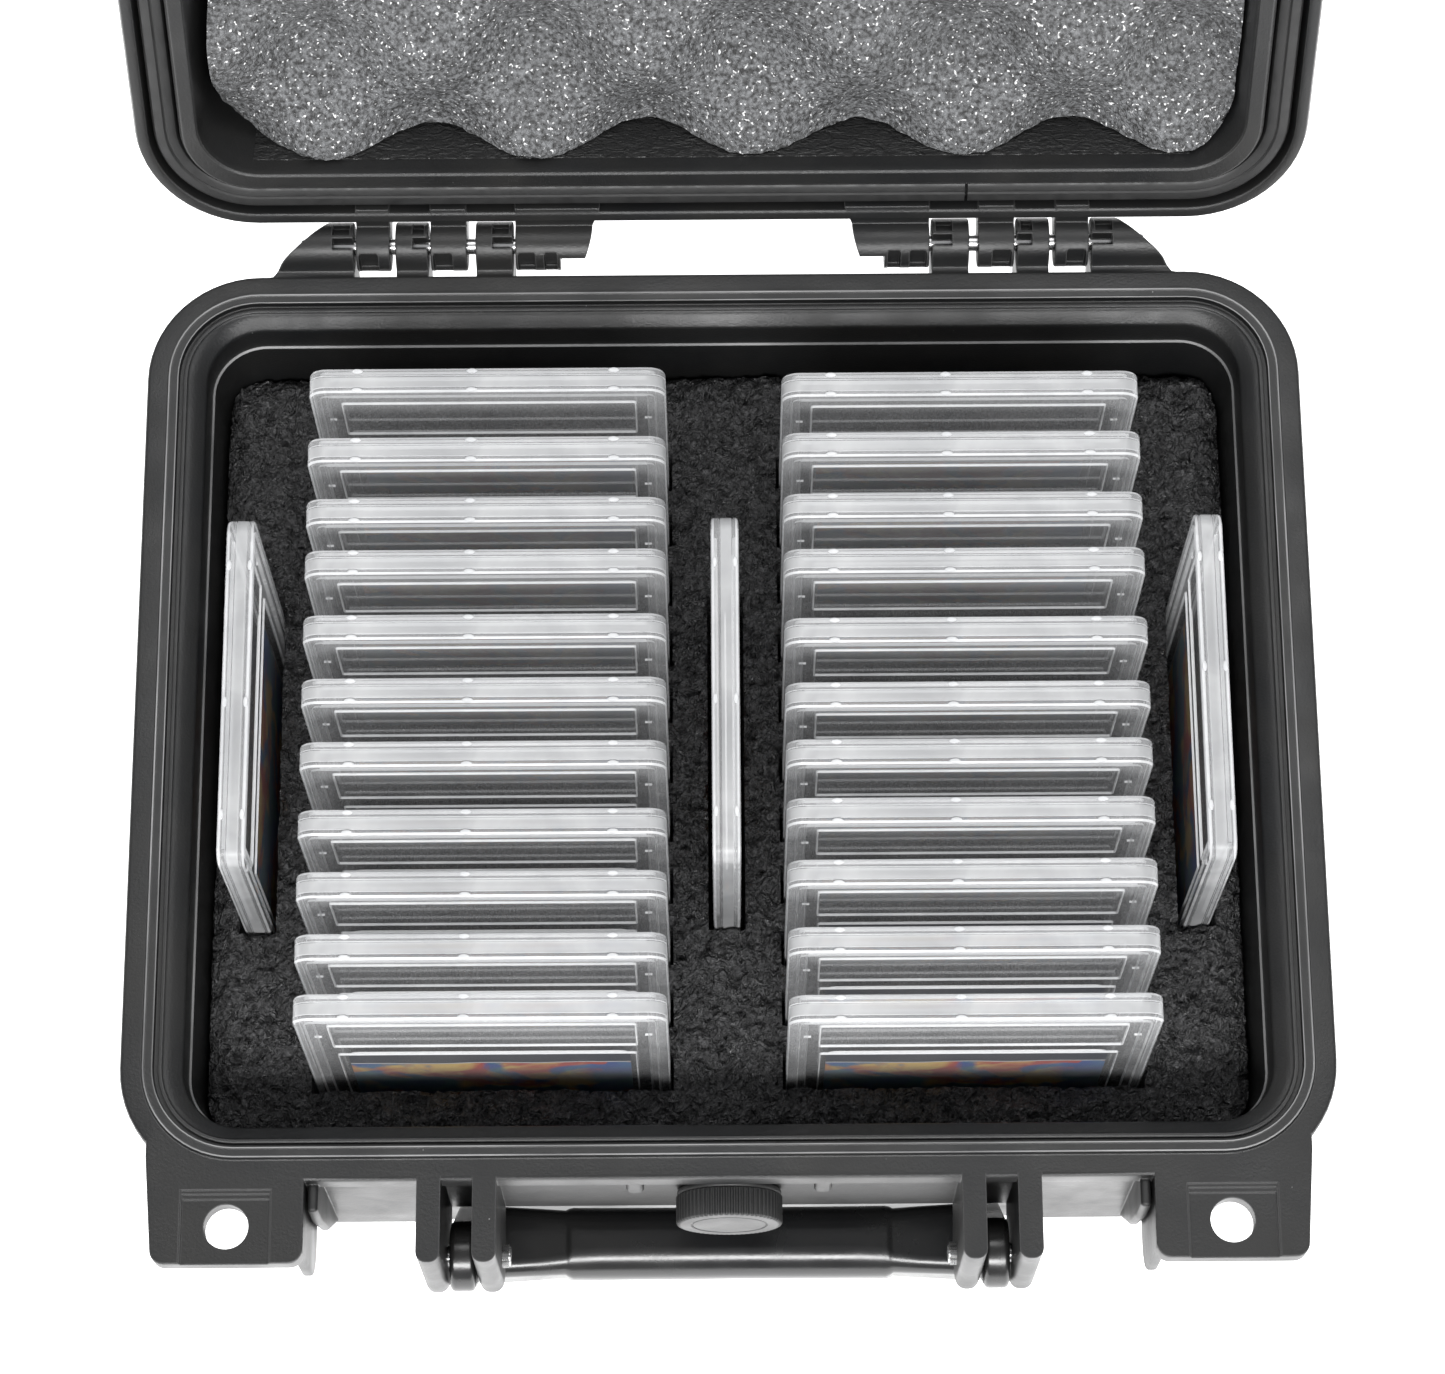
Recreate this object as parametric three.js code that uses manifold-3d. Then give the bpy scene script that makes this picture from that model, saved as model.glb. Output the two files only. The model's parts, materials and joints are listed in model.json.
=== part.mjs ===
// Hard case with a hinged lid that stores card slabs upright in slotted foam.
// Millimetres, +Z up, +X to the right, the hinges on the +Y side. The origin is the centre of the
// underside. The lid stands open, leaning back past upright, with its two latches swung clear.
import * as THREE from "three";
import { mergeVertices } from "three/addons/utils/BufferGeometryUtils.js";
import Module from "manifold-3d";

const wasm = await Module();
wasm.setup();

// ---------------------------------------------------------------- driving dimensions

const RIM_Z = 121; // the parting plane between base and lid
const RIM = { halfX: 135, halfY: 108.75, radius: 26, centreY: 0 };
const RIM_THICKNESS = 7;
const CORNER_SEGMENTS = 4; // three.js draws an arc with twice this many sides
const GAP = 0.3; // running gap between pieces that touch

const FLOOR_THICKNESS = 7;
const CAVITY = { halfX: 121.5, halfY: 96, radius: 13, centreY: 0 };
const CAVITY_DRAFT = 5.5; // how far the base cavity narrows from its mouth to its floor
const MOUTH_DEPTH = 3; // height of the sloped mouth inside the rim
const MOUTH_FLARE = 3.2;
const TONGUE = { outer: 4.7, inner: 7.3, height: 1.2 };

const LID_OVERHANG = 1.4; // the lid's flange stands this far outside the base's rim
const LID_HEIGHT = 53;
const LID_CEILING = 41; // inner depth of the lid
const LID_ROOF = 44.5;
const LID_CAVITY = { halfX: 123.5, halfY: 96.8, radius: 15, centreY: 0 };
const LID_CAVITY_DRAFT = 4;
const CHANNEL = { outer: 4.4, inner: 10, depth: 7.5 };
const GASKET = { outer: 4.9, inner: 9.5, low: 1.9, high: 7.2 };
const LID_OPEN_ANGLE = THREE.MathUtils.degToRad(116);

const HINGE_Y = 116.6;
const KNUCKLE_RADIUS = 5.8;
const HINGE_PIN_RADIUS = 2;
const HINGE_BORE_RADIUS = 2.35;
const BASE_KNUCKLES = [[49.6, 58.4], [69.7, 77.4], [88.1, 112]]; // distances from the middle
const LID_KNUCKLES = [[27, 49], [60.5, 69.1], [78.9, 87.5]];
// The outer end of the base's outer knuckle and the inner end of the lid's inner one slant.
const BASE_WING_ENDS = { atWall: 118, behindPin: 94.5 };
const LID_WING_ENDS = { atWall: 26.5, behindPin: 36 };
const HINGE_PIN_SPAN = [35, 100];

const TAB = { inner: 93.7, outer: 127.8, front: -127, thickness: 6 };
const PADLOCK_HOLE = { x: 110.8, y: -118.6, radius: 4.95 };
const TAB_RECESS = { inner: 101.2, outer: 120.6, back: -111.2, depth: 1.2 };
const TAB_RIB_THICKNESS = 2.5;
const TAB_RIBS = { inner: { drop: 33, front: -125 }, outer: { drop: 20, front: -118 } };

const SKIRT_FRONT = -106.6; // raised panel of the front wall, below the rim
const SKIRT_DROP_LATCH = 57;
const SKIRT_DROP_HANDLE = 40;

const EAR_CENTRES = [54, 66.3];
const EAR_THICKNESS = 5.3;
const EAR_FRONT = -127;
const HANDLE_PIVOT = { y: -120, z: -30 }; // z is measured from the parting plane
const HANDLE_HUB = { centre: 60.15, width: 5.8, radius: 8 };
const HANDLE_PIN_RADIUS = 2.2;
const HANDLE_BORE_RADIUS = 2.55;
const HANDLE_PIN_SPAN = [50, 68.5];
const GRIP = { y: -111.3, z: -61, halfY: 8.6, halfZ: 7 };

const LATCH = { inner: 69.3, outer: 90.3, pivotY: -114.5, pivotZ: 13, hubRadius: 4 };
const LATCH_PIN_RADIUS = 1.6;
const LATCH_BORE_RADIUS = 1.95;
const LATCH_OPEN_ANGLE = THREE.MathUtils.degToRad(60);
const LATCH_LUGS = [[66.3, 68.8], [90.9, 93.9]];

const VALVE_Z = -22;
const VALVE_STEM_RADIUS = 5;
const VALVE_COLLAR_RADIUS = 10.4;
const KNOB_DEPTH = 6;
const VALVE_O_RING = { inner: 10.8, outer: 11.8, halfHeight: 0.7 };

const SLAB = { width: 81, height: 135, thickness: 6.3, corner: 4 };
const SLAB_BOTTOM_Z = 18;
const SLAB_PITCH = 14.66;
const COLUMN_X = 53.7;
const COLUMN_BACK_Y = 67.65;
const SIDE_SLAB_X = 108.4;
const SIDE_SLAB_Y = -4.5;
const SLOT = { width: 82.6, thickness: 8.6 };
const FOAM_TOP_Z = 97.5;
const PAD_TOP_Z = 17.5;
// The lid's foam: its height runs from the peaks of its waved face to the ceiling of the lid.
const LID_FOAM = { halfX: 118.8, halfY: 92.2, peak: 5, top: 40.7, pitch: 50, shift: 7, depth: 13 };
// How far each slab leans towards the back, in degrees, from the hinge side to the front.
const LEAN_LEFT = [0.6, -0.7, -0.75, 0.65, 0.2, 0.05, 0, -0.6, -0.3, 0.1, 0.85];
const LEAN_RIGHT = [-0.4, -0.4, -0.45, 0.4, -0.65, -0.95, -0.1, 0.6, 0.95, 0.6, 0.3];

// ---------------------------------------------------------------- materials

function material(color, roughness, metalness = 0) {
  return new THREE.MeshStandardMaterial({ color, roughness, metalness });
}
const shellBlack = () => material(0x2a2b2d, 0.55);
const leverBlack = () => material(0x222325, 0.45);
const steel = () => material(0xb4b6b8, 0.3, 1);
const rubber = () => material(0x1c1c1d, 0.8);
const blackFoam = () => material(0x18191a, 0.9);
const greyFoam = () => material(0x6f7173, 0.95);
const clearPlastic = () => {
  const made = material(0xe9eef0, 0.08);
  made.transparent = true;
  made.opacity = 0.35;
  return made;
};

// ---------------------------------------------------------------- geometry helpers

// A closed geometry as a solid that can be joined and cut.
function solidOf(geometry) {
  const bare = geometry.index ? geometry.toNonIndexed() : geometry.clone();
  bare.deleteAttribute("normal");
  bare.deleteAttribute("uv");
  const merged = mergeVertices(bare, 1e-3);
  return new wasm.Manifold(
    new wasm.Mesh({
      numProp: 3,
      vertProperties: merged.attributes.position.array,
      triVerts: new Uint32Array(merged.index.array),
    }),
  );
}

function geometryOf(solid) {
  const { vertProperties, triVerts } = solid.getMesh();
  const geometry = new THREE.BufferGeometry();
  geometry.setAttribute("position", new THREE.BufferAttribute(vertProperties, 3));
  geometry.setIndex(new THREE.BufferAttribute(triVerts, 1));
  geometry.computeVertexNormals();
  return geometry;
}

function join(solids) {
  return solids.reduce((sum, next) => sum.add(next));
}

function cut(solid, tools) {
  return tools.reduce((rest, tool) => rest.subtract(tool), solid);
}

function roundedRectangle({ halfX, halfY, radius }) {
  const x = halfX - radius;
  const y = halfY - radius;
  const shape = new THREE.Shape();
  shape.moveTo(halfX, -y);
  shape.absarc(x, y, radius, 0, Math.PI / 2);
  shape.absarc(-x, y, radius, Math.PI / 2, Math.PI);
  shape.absarc(-x, -y, radius, Math.PI, Math.PI * 1.5);
  shape.absarc(x, -y, radius, Math.PI * 1.5, Math.PI * 2);
  return shape;
}

// A rounded rectangle drawn through several heights. Each level is [height, inset], and the inset
// moves the outline inwards by the same distance all the way round.
function loft(outline, levels) {
  const steps = levels.length - 1;
  const geometry = new THREE.ExtrudeGeometry(roundedRectangle(outline), {
    depth: steps,
    steps,
    bevelEnabled: false,
    curveSegments: CORNER_SEGMENTS,
  });
  const coreX = outline.halfX - outline.radius;
  const coreY = outline.halfY - outline.radius;
  const position = geometry.attributes.position;
  for (let i = 0; i < position.count; i++) {
    const [z, inset] = levels[Math.round(position.getZ(i))];
    const x = THREE.MathUtils.clamp(position.getX(i), -coreX, coreX);
    const y = THREE.MathUtils.clamp(position.getY(i), -coreY, coreY);
    const share = 1 - inset / outline.radius;
    const dx = (position.getX(i) - x) * share;
    const dy = (position.getY(i) - y) * share;
    position.setXYZ(i, x + dx, y + dy + outline.centreY, z);
  }
  return solidOf(geometry);
}

// The wall between two insets of one outline.
function ring(outline, outer, inner, low, high) {
  const body = loft(outline, [[low, outer], [high, outer]]);
  return cut(body, [loft(outline, [[low - 1, inner], [high + 1, inner]])]);
}

function block([x0, x1], [y0, y1], [z0, z1]) {
  const box = new THREE.BoxGeometry(Math.abs(x1 - x0), y1 - y0, z1 - z0);
  box.translate((x0 + x1) / 2, (y0 + y1) / 2, (z0 + z1) / 2);
  return solidOf(box);
}

// A plan outline raised from one height to another.
function prism(shape, low, high, curveSegments = CORNER_SEGMENTS) {
  const geometry = new THREE.ExtrudeGeometry(shape, {
    depth: high - low,
    bevelEnabled: false,
    curveSegments,
  });
  geometry.translate(0, 0, low);
  return solidOf(geometry);
}

// A side outline, drawn in (y, z), carried along X.
function plate(shape, [x0, x1], curveSegments = CORNER_SEGMENTS) {
  const geometry = new THREE.ExtrudeGeometry(shape, {
    depth: Math.abs(x1 - x0),
    bevelEnabled: false,
    curveSegments,
  });
  const toSide = new THREE.Matrix4().makeBasis(
    new THREE.Vector3(0, 1, 0),
    new THREE.Vector3(0, 0, 1),
    new THREE.Vector3(1, 0, 0),
  );
  geometry.applyMatrix4(toSide);
  geometry.translate(Math.min(x0, x1), 0, 0);
  return solidOf(geometry);
}

function polygon(points) {
  return new THREE.Shape(points.map(([u, v]) => new THREE.Vector2(u, v)));
}

// Solid cylinders along X, Y and Z.
function rodX(radius, [x0, x1], y, z, sides = 24) {
  const geometry = new THREE.CylinderGeometry(radius, radius, Math.abs(x1 - x0), sides);
  geometry.rotateZ(Math.PI / 2);
  geometry.translate((x0 + x1) / 2, y, z);
  return solidOf(geometry);
}

function rodY(radius, [y0, y1], x, z, sides = 24) {
  const geometry = new THREE.CylinderGeometry(radius, radius, y1 - y0, sides);
  geometry.translate(x, (y0 + y1) / 2, z);
  return solidOf(geometry);
}

function rodZ(radius, [z0, z1], x, y, sides = 24) {
  const geometry = new THREE.CylinderGeometry(radius, radius, z1 - z0, sides);
  geometry.rotateX(Math.PI / 2);
  geometry.translate(x, y, (z0 + z1) / 2);
  return solidOf(geometry);
}

// A span measured outwards from the middle, on the left (-1) or right (1) side.
function span(side, [near, far]) {
  return side > 0 ? [near, far] : [-far, -near];
}

function named(name, solid, finish) {
  const mesh = new THREE.Mesh(geometryOf(solid), finish);
  mesh.name = name;
  return mesh;
}

// Heights in the sections below that are measured from the parting plane go through this.
function fromRim([low, high]) {
  return [RIM_Z + low, RIM_Z + high];
}

const SIDES = [["left", -1], ["right", 1]];

// ---------------------------------------------------------------- base shell

function baseTub() {
  const body = loft(RIM, [[0, 17.5], [3, 14.5], [RIM_Z - RIM_THICKNESS + 1, 9]]);
  const edge = 0.6;
  const rim = loft(RIM, [
    [RIM_Z - RIM_THICKNESS, 0],
    [RIM_Z - edge, 0],
    [RIM_Z, edge],
  ]);
  const tongue = loft(RIM, [
    [RIM_Z - 1, TONGUE.outer],
    [RIM_Z + TONGUE.height - edge, TONGUE.outer],
    [RIM_Z + TONGUE.height, TONGUE.outer + edge],
  ]);
  return join([body, rim, tongue]);
}

function baseCavity() {
  const overshoot = 2;
  const mouth = loft(CAVITY, [
    [FLOOR_THICKNESS, CAVITY_DRAFT],
    [RIM_Z - MOUTH_DEPTH, 0],
    [RIM_Z, -MOUTH_FLARE],
  ]);
  const insideTongue = loft(RIM, [
    [RIM_Z, TONGUE.inner],
    [RIM_Z + TONGUE.height + overshoot, TONGUE.inner],
  ]);
  return join([mouth, insideTongue]);
}

// Four shallow pockets leave a border and a cross to stand on.
function undersidePockets() {
  const pocket = { halfX: 51, halfY: 38, radius: 8 };
  const depth = 4;
  const pockets = [];
  for (const sx of [-1, 1]) {
    for (const sy of [-1, 1]) {
      const shape = prism(roundedRectangle(pocket), -1, depth, 3);
      pockets.push(shape.translate([sx * (pocket.halfX + 6), sy * (pocket.halfY + 6), 0]));
    }
  }
  return pockets;
}

// A padlock tab seen from above: it reaches back into the rim.
function tabOutline(side) {
  const back = -96;
  const half = { halfX: (TAB.outer - TAB.inner) / 2, halfY: (back - TAB.front) / 2, radius: 4 };
  const centre = [(side * (TAB.outer + TAB.inner)) / 2, (back + TAB.front) / 2];
  return (low, high) => prism(roundedRectangle(half), low, high, 4).translate([...centre, 0]);
}

// The thin upright rib along one edge of a padlock tab, rounded at its free corner.
function tabRib(x, low, high, front, towards) {
  const back = -100;
  const corner = 8;
  const shape = new THREE.Shape();
  if (towards < 0) {
    shape.moveTo(back, high);
    shape.lineTo(front, high);
    shape.lineTo(front, low + corner);
    shape.absarc(front + corner, low + corner, corner, Math.PI, Math.PI * 1.5);
    shape.lineTo(back, low);
  } else {
    shape.moveTo(back, low);
    shape.lineTo(back, high);
    shape.lineTo(front + corner, high);
    shape.absarc(front + corner, high - corner, corner, Math.PI / 2, Math.PI);
    shape.lineTo(front, low);
  }
  return plate(shape, x, 4);
}

function baseTab(side) {
  const innerEdge = span(side, [TAB.inner, TAB.inner + TAB_RIB_THICKNESS]);
  const outerEdge = span(side, [TAB.outer - TAB_RIB_THICKNESS, TAB.outer]);
  const { inner, outer } = TAB_RIBS;
  return join([
    tabOutline(side)(RIM_Z - TAB.thickness, RIM_Z),
    tabRib(innerEdge, RIM_Z - inner.drop, RIM_Z - 1, inner.front, -1),
    tabRib(outerEdge, RIM_Z - outer.drop, RIM_Z - 1, outer.front, -1),
  ]);
}

function padlockHole(side, z) {
  return rodZ(PADLOCK_HOLE.radius, z, side * PADLOCK_HOLE.x, PADLOCK_HOLE.y);
}

function tabRecess(side, z) {
  return block(span(side, [TAB_RECESS.inner, TAB_RECESS.outer]), [TAB.front - 1, TAB_RECESS.back], z);
}

// The raised panels of the front wall: two deep ones behind the latches, and a shorter one
// behind the handle.
function frontSkirt() {
  const back = -95;
  const low = 5; // the lower edge slopes back to the wall over this height
  function panel(x, drop) {
    const outline = polygon([
      [back, RIM_Z - 3],
      [SKIRT_FRONT, RIM_Z - 3],
      [SKIRT_FRONT, RIM_Z - drop],
      [back, RIM_Z - drop - low],
    ]);
    return plate(outline, x);
  }
  const latchPanel = [EAR_CENTRES[1], TAB.inner + 1];
  return join([
    panel(span(-1, latchPanel), SKIRT_DROP_LATCH),
    panel(span(1, latchPanel), SKIRT_DROP_LATCH),
    panel([-latchPanel[0], latchPanel[0]], SKIRT_DROP_HANDLE),
  ]);
}

// The tapering fin at the outer side of each latch.
function latchFin(side) {
  const outline = polygon([
    [-100, RIM_Z - 3],
    [-115, RIM_Z - 3],
    [-115, RIM_Z - 15],
    [-112.7, RIM_Z - 34],
    [SKIRT_FRONT, RIM_Z - 56],
    [-100, RIM_Z - 56],
  ]);
  return plate(outline, span(side, [TAB.inner - 2.8, TAB.inner - 0.6]));
}

// One upright ear beside a handle hub. Its front edge is fully rounded, and its lower end is a
// round boss about the handle pin.
function handleEar(x) {
  const boss = { y: -116, z: RIM_Z - 35.5, radius: 11 };
  const side = new THREE.Shape();
  side.moveTo(-100, RIM_Z);
  side.lineTo(EAR_FRONT, RIM_Z);
  side.lineTo(EAR_FRONT, boss.z);
  side.absarc(boss.y, boss.z, boss.radius, Math.PI, Math.PI * 1.95);
  side.lineTo(-100, boss.z - 1);
  const half = EAR_THICKNESS / 2;
  const plan = new THREE.Shape();
  plan.moveTo(x + half, -99);
  plan.lineTo(x - half, -99);
  plan.lineTo(x - half, EAR_FRONT + half);
  plan.absarc(x, EAR_FRONT + half, half, Math.PI, Math.PI * 2);
  const body = plate(side, [x - half, x + half], 6);
  return body.intersect(prism(plan, RIM_Z - 50, RIM_Z + 1, 3));
}

// Keeps the part of a knuckle that lies between two lines seen from above. Each line is given by
// its distances from the middle at the wall and behind the pin.
function slantedKnuckle(knuckle, side, near, far) {
  const wall = 100;
  const behind = HINGE_Y + KNUCKLE_RADIUS + 0.5;
  const corners = [
    [side * near.atWall, wall],
    [side * far.atWall, wall],
    [side * far.behindPin, behind],
    [side * near.behindPin, behind],
  ];
  return knuckle.intersect(prism(polygon(corners), RIM_Z - 40, RIM_Z + 40));
}

function square(x) {
  return { atWall: x, behindPin: x };
}

function baseHinge(side) {
  const web = polygon([
    [104, RIM_Z - GAP],
    [HINGE_Y, RIM_Z - GAP],
    [HINGE_Y + 4.9, RIM_Z - 3.2],
    [HINGE_Y + 3.4, RIM_Z - 9],
    [100, RIM_Z - 32],
  ]);
  const [inner, middle, wing] = BASE_KNUCKLES.map((x) => {
    const at = span(side, x);
    return rodX(KNUCKLE_RADIUS, at, HINGE_Y, RIM_Z).add(plate(web, at));
  });
  return join([inner, middle, slantedKnuckle(wing, side, square(BASE_KNUCKLES[2][0]), BASE_WING_ENDS)]);
}

function wallRibs() {
  return [-1, 1].map((side) => block(span(side, [19.8, 22.2]), [-109.4, -105], fromRim([-24, -3])));
}

// The outside of the shell carries three upright stiffening ribs on each end and on the back.
function stiffeners() {
  const ribs = [];
  const low = 12;
  const high = RIM_Z - 3;
  for (const side of [-1, 1]) {
    for (const y of [-58, 0, 58]) {
      ribs.push(block(span(side, [118.5, 125.5]), [y - 2, y + 2], [low, high]));
    }
  }
  for (const x of [-15, 15]) {
    ribs.push(block([x - 2, x + 2], [92, 99], [low, high]));
  }
  return ribs;
}

function baseShell() {
  let shell = join([baseTub(), frontSkirt(), ...wallRibs(), ...stiffeners()]);
  for (const [, side] of SIDES) {
    const ears = EAR_CENTRES.map((x) => handleEar(side * x));
    shell = join([shell, baseTab(side), latchFin(side), baseHinge(side), ...ears]);
  }
  const holes = [];
  for (const [, side] of SIDES) {
    holes.push(
      padlockHole(side, fromRim([-TAB.thickness - 1, 1])),
      tabRecess(side, fromRim([-TAB_RECESS.depth, 2])),
      rodX(HANDLE_BORE_RADIUS, span(side, [48, 70]), HANDLE_PIVOT.y, RIM_Z + HANDLE_PIVOT.z, 16),
      rodX(HINGE_BORE_RADIUS, span(side, [28, 110]), HINGE_Y, RIM_Z, 16),
    );
  }
  const stemHole = rodY(VALVE_STEM_RADIUS + GAP + 0.1, [-112, -90], 0, RIM_Z + VALVE_Z);
  const nutRecess = rodY(9, [-98.8, -90], 0, RIM_Z + VALVE_Z);
  return cut(shell, [baseCavity(), ...undersidePockets(), ...holes, stemHole, nutRecess]);
}

// ---------------------------------------------------------------- lid

// The lid's own pieces are drawn as if it were shut, and its group then opens it.

function lidShell() {
  const edge = 0.8;
  const flange = loft(RIM, [
    [RIM_Z + GAP, -LID_OVERHANG],
    [RIM_Z + 7.3 - edge, -LID_OVERHANG],
    [RIM_Z + 7.3, edge - LID_OVERHANG],
  ]);
  const channelCover = loft(RIM, [[RIM_Z + 6, 3], [RIM_Z + 10.5, 4]]);
  const walls = loft(RIM, [
    [RIM_Z + 6, 7],
    [RIM_Z + LID_ROOF - 3, 12.5],
    [RIM_Z + LID_ROOF, 15.5],
  ]);
  const parts = [flange, channelCover, walls, lidTopFrame()];
  for (const [, side] of SIDES) {
    parts.push(lidTab(side), lidHinge(side), ...latchLugs(side));
  }
  const holes = [lidCavity(), gasketChannel()];
  for (const [, side] of SIDES) {
    const [near, far] = [LATCH_LUGS[0][0] - 1, LATCH_LUGS[1][1] + 5];
    holes.push(
      padlockHole(side, fromRim([-1, TAB.thickness + 3])),
      tabRecess(side, fromRim([TAB.thickness + GAP - TAB_RECESS.depth, TAB.thickness + 3])),
      rodX(HINGE_BORE_RADIUS, span(side, [28, 90]), HINGE_Y, RIM_Z, 16),
      rodX(LATCH_BORE_RADIUS, span(side, [near, far]), LATCH.pivotY, RIM_Z + LATCH.pivotZ, 16),
    );
  }
  return cut(join(parts), holes);
}

// A raised frame with two cross bars, on which another case can stand.
function lidTopFrame() {
  const inset = { outer: 24, inner: 25.9 };
  const low = RIM_Z + LID_ROOF - 1;
  const high = RIM_Z + LID_HEIGHT;
  const frameWidth = 11;
  const outline = {
    halfX: RIM.halfX - inset.outer,
    halfY: RIM.halfY - inset.outer,
    radius: 16,
    centreY: 0,
  };
  const solid = loft(outline, [[low, 0], [high - 1, 0], [high, 1]]);
  const opening = {
    halfX: outline.halfX - frameWidth,
    halfY: outline.halfY - frameWidth,
    radius: 8,
    centreY: 0,
  };
  const hollow = loft(opening, [[RIM_Z + LID_ROOF, 0], [high + 1, 0]]);
  const bars = [-34, 34].map((x) =>
    block([x - 5, x + 5], [-outline.halfY + 5, outline.halfY - 5], [low, high - 1.5]),
  );
  return join([cut(solid, [hollow]), ...bars]);
}

function lidCavity() {
  return loft(LID_CAVITY, [[RIM_Z - 1, 0], [RIM_Z + GAP, 0], [RIM_Z + LID_CEILING, LID_CAVITY_DRAFT]]);
}

function gasketChannel() {
  return ring(RIM, CHANNEL.outer, CHANNEL.inner, RIM_Z - 1, RIM_Z + CHANNEL.depth);
}

function lidTab(side) {
  const rib = span(side, [TAB.inner, TAB.inner + TAB_RIB_THICKNESS]);
  const outerRib = span(side, [TAB.outer - TAB_RIB_THICKNESS, TAB.outer]);
  return join([
    tabOutline(side)(RIM_Z + GAP, RIM_Z + TAB.thickness + GAP),
    tabRib(rib, RIM_Z + 1, RIM_Z + 22, TAB_RIBS.inner.front, 1),
    tabRib(outerRib, RIM_Z + 1, RIM_Z + 22, TAB_RIBS.inner.front, 1),
  ]);
}

function latchLugs(side) {
  const pivotZ = RIM_Z + LATCH.pivotZ;
  const lug = new THREE.Shape();
  lug.moveTo(-100, RIM_Z + 1);
  lug.lineTo(-100, pivotZ + 10);
  lug.lineTo(LATCH.pivotY, pivotZ + LATCH.hubRadius);
  lug.absarc(LATCH.pivotY, pivotZ, LATCH.hubRadius, Math.PI / 2, Math.PI);
  lug.lineTo(-112, RIM_Z + 1);
  return LATCH_LUGS.map((x) => plate(lug, span(side, x), 5));
}

function lidHinge(side) {
  const web = polygon([
    [104, RIM_Z + 0.4],
    [HINGE_Y - 3, RIM_Z + 0.4],
    [HINGE_Y, RIM_Z + 1],
    [HINGE_Y + 1.5, RIM_Z + 5.6],
    [100, RIM_Z + 26],
  ]);
  const [wing, middle, outer] = LID_KNUCKLES.map((x) => {
    const at = span(side, x);
    return rodX(KNUCKLE_RADIUS, at, HINGE_Y, RIM_Z).add(plate(web, at));
  });
  return join([slantedKnuckle(wing, side, LID_WING_ENDS, square(LID_KNUCKLES[0][1])), middle, outer]);
}

function lidGasket() {
  const { outer, inner, low, high } = GASKET;
  const edge = 0.5;
  const body = loft(RIM, [[RIM_Z + low, outer + edge], [RIM_Z + low + edge, outer], [RIM_Z + high, outer]]);
  return cut(body, [loft(RIM, [[RIM_Z + low - 1, inner], [RIM_Z + high + 1, inner]])]);
}

// A block whose lower face waves up and down both ways, like an egg tray.
function lidFoam() {
  const { halfX, halfY, peak, top, pitch, shift, depth } = LID_FOAM;
  const stepsX = 20;
  const stepsY = 16;
  const geometry = new THREE.BoxGeometry(halfX * 2, halfY * 2, top - peak, stepsX, stepsY, 1);
  geometry.translate(0, 0, RIM_Z + (top + peak) / 2);
  const position = geometry.attributes.position;
  const turn = (Math.PI * 2) / pitch;
  for (let i = 0; i < position.count; i++) {
    if (position.getZ(i) > RIM_Z + peak + 1) continue;
    const acrossX = Math.cos((position.getX(i) - shift) * turn);
    const acrossY = Math.cos((position.getY(i) - halfY) * turn);
    position.setZ(i, RIM_Z + peak + (depth * (1 - acrossX * acrossY)) / 2);
  }
  const outline = { halfX, halfY, radius: 11, centreY: 0 };
  const trim = loft(outline, [[RIM_Z + peak - 1, 0], [RIM_Z + top + 1, 0]]);
  return solidOf(geometry).intersect(trim);
}

// A snap lever: a plate hung from the pin, with a lip that hooks under the base's rim and a
// turned-out end to pull.
function latchLever(side) {
  const pivotZ = RIM_Z + LATCH.pivotZ;
  const inner = -111;
  const outer = -114.2;
  const lever = new THREE.Shape();
  lever.moveTo(inner, pivotZ - 2);
  lever.absarc(LATCH.pivotY, pivotZ, LATCH.hubRadius, -0.5, Math.PI);
  lever.lineTo(LATCH.pivotY - LATCH.hubRadius, pivotZ - 3);
  lever.lineTo(outer - 1.2, RIM_Z);
  lever.lineTo(outer - 1.2, RIM_Z - 14);
  lever.lineTo(-121, RIM_Z - 20.5);
  lever.lineTo(-120, RIM_Z - 23);
  lever.lineTo(-112.6, RIM_Z - 18.5);
  lever.lineTo(inner, RIM_Z - 14);
  lever.lineTo(inner, RIM_Z - 11.2);
  lever.lineTo(-107.2, RIM_Z - 9);
  lever.lineTo(-107.2, RIM_Z - 7.4);
  lever.lineTo(inner, RIM_Z - 7.4);
  const body = plate(lever, span(side, [LATCH.inner, LATCH.outer]), 8);
  return cut(body, [rodX(LATCH_BORE_RADIUS, span(side, [60, 100]), LATCH.pivotY, pivotZ, 16)]);
}

function latchPin(side) {
  const ends = span(side, [LATCH_LUGS[0][0] + 0.3, LATCH_LUGS[1][1] - 0.3]);
  return rodX(LATCH_PIN_RADIUS, ends, LATCH.pivotY, RIM_Z + LATCH.pivotZ, 14);
}

// ---------------------------------------------------------------- hinge pins, handle and valve

function hingePin(side) {
  return rodX(HINGE_PIN_RADIUS, span(side, HINGE_PIN_SPAN), HINGE_Y, RIM_Z, 16);
}

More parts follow.
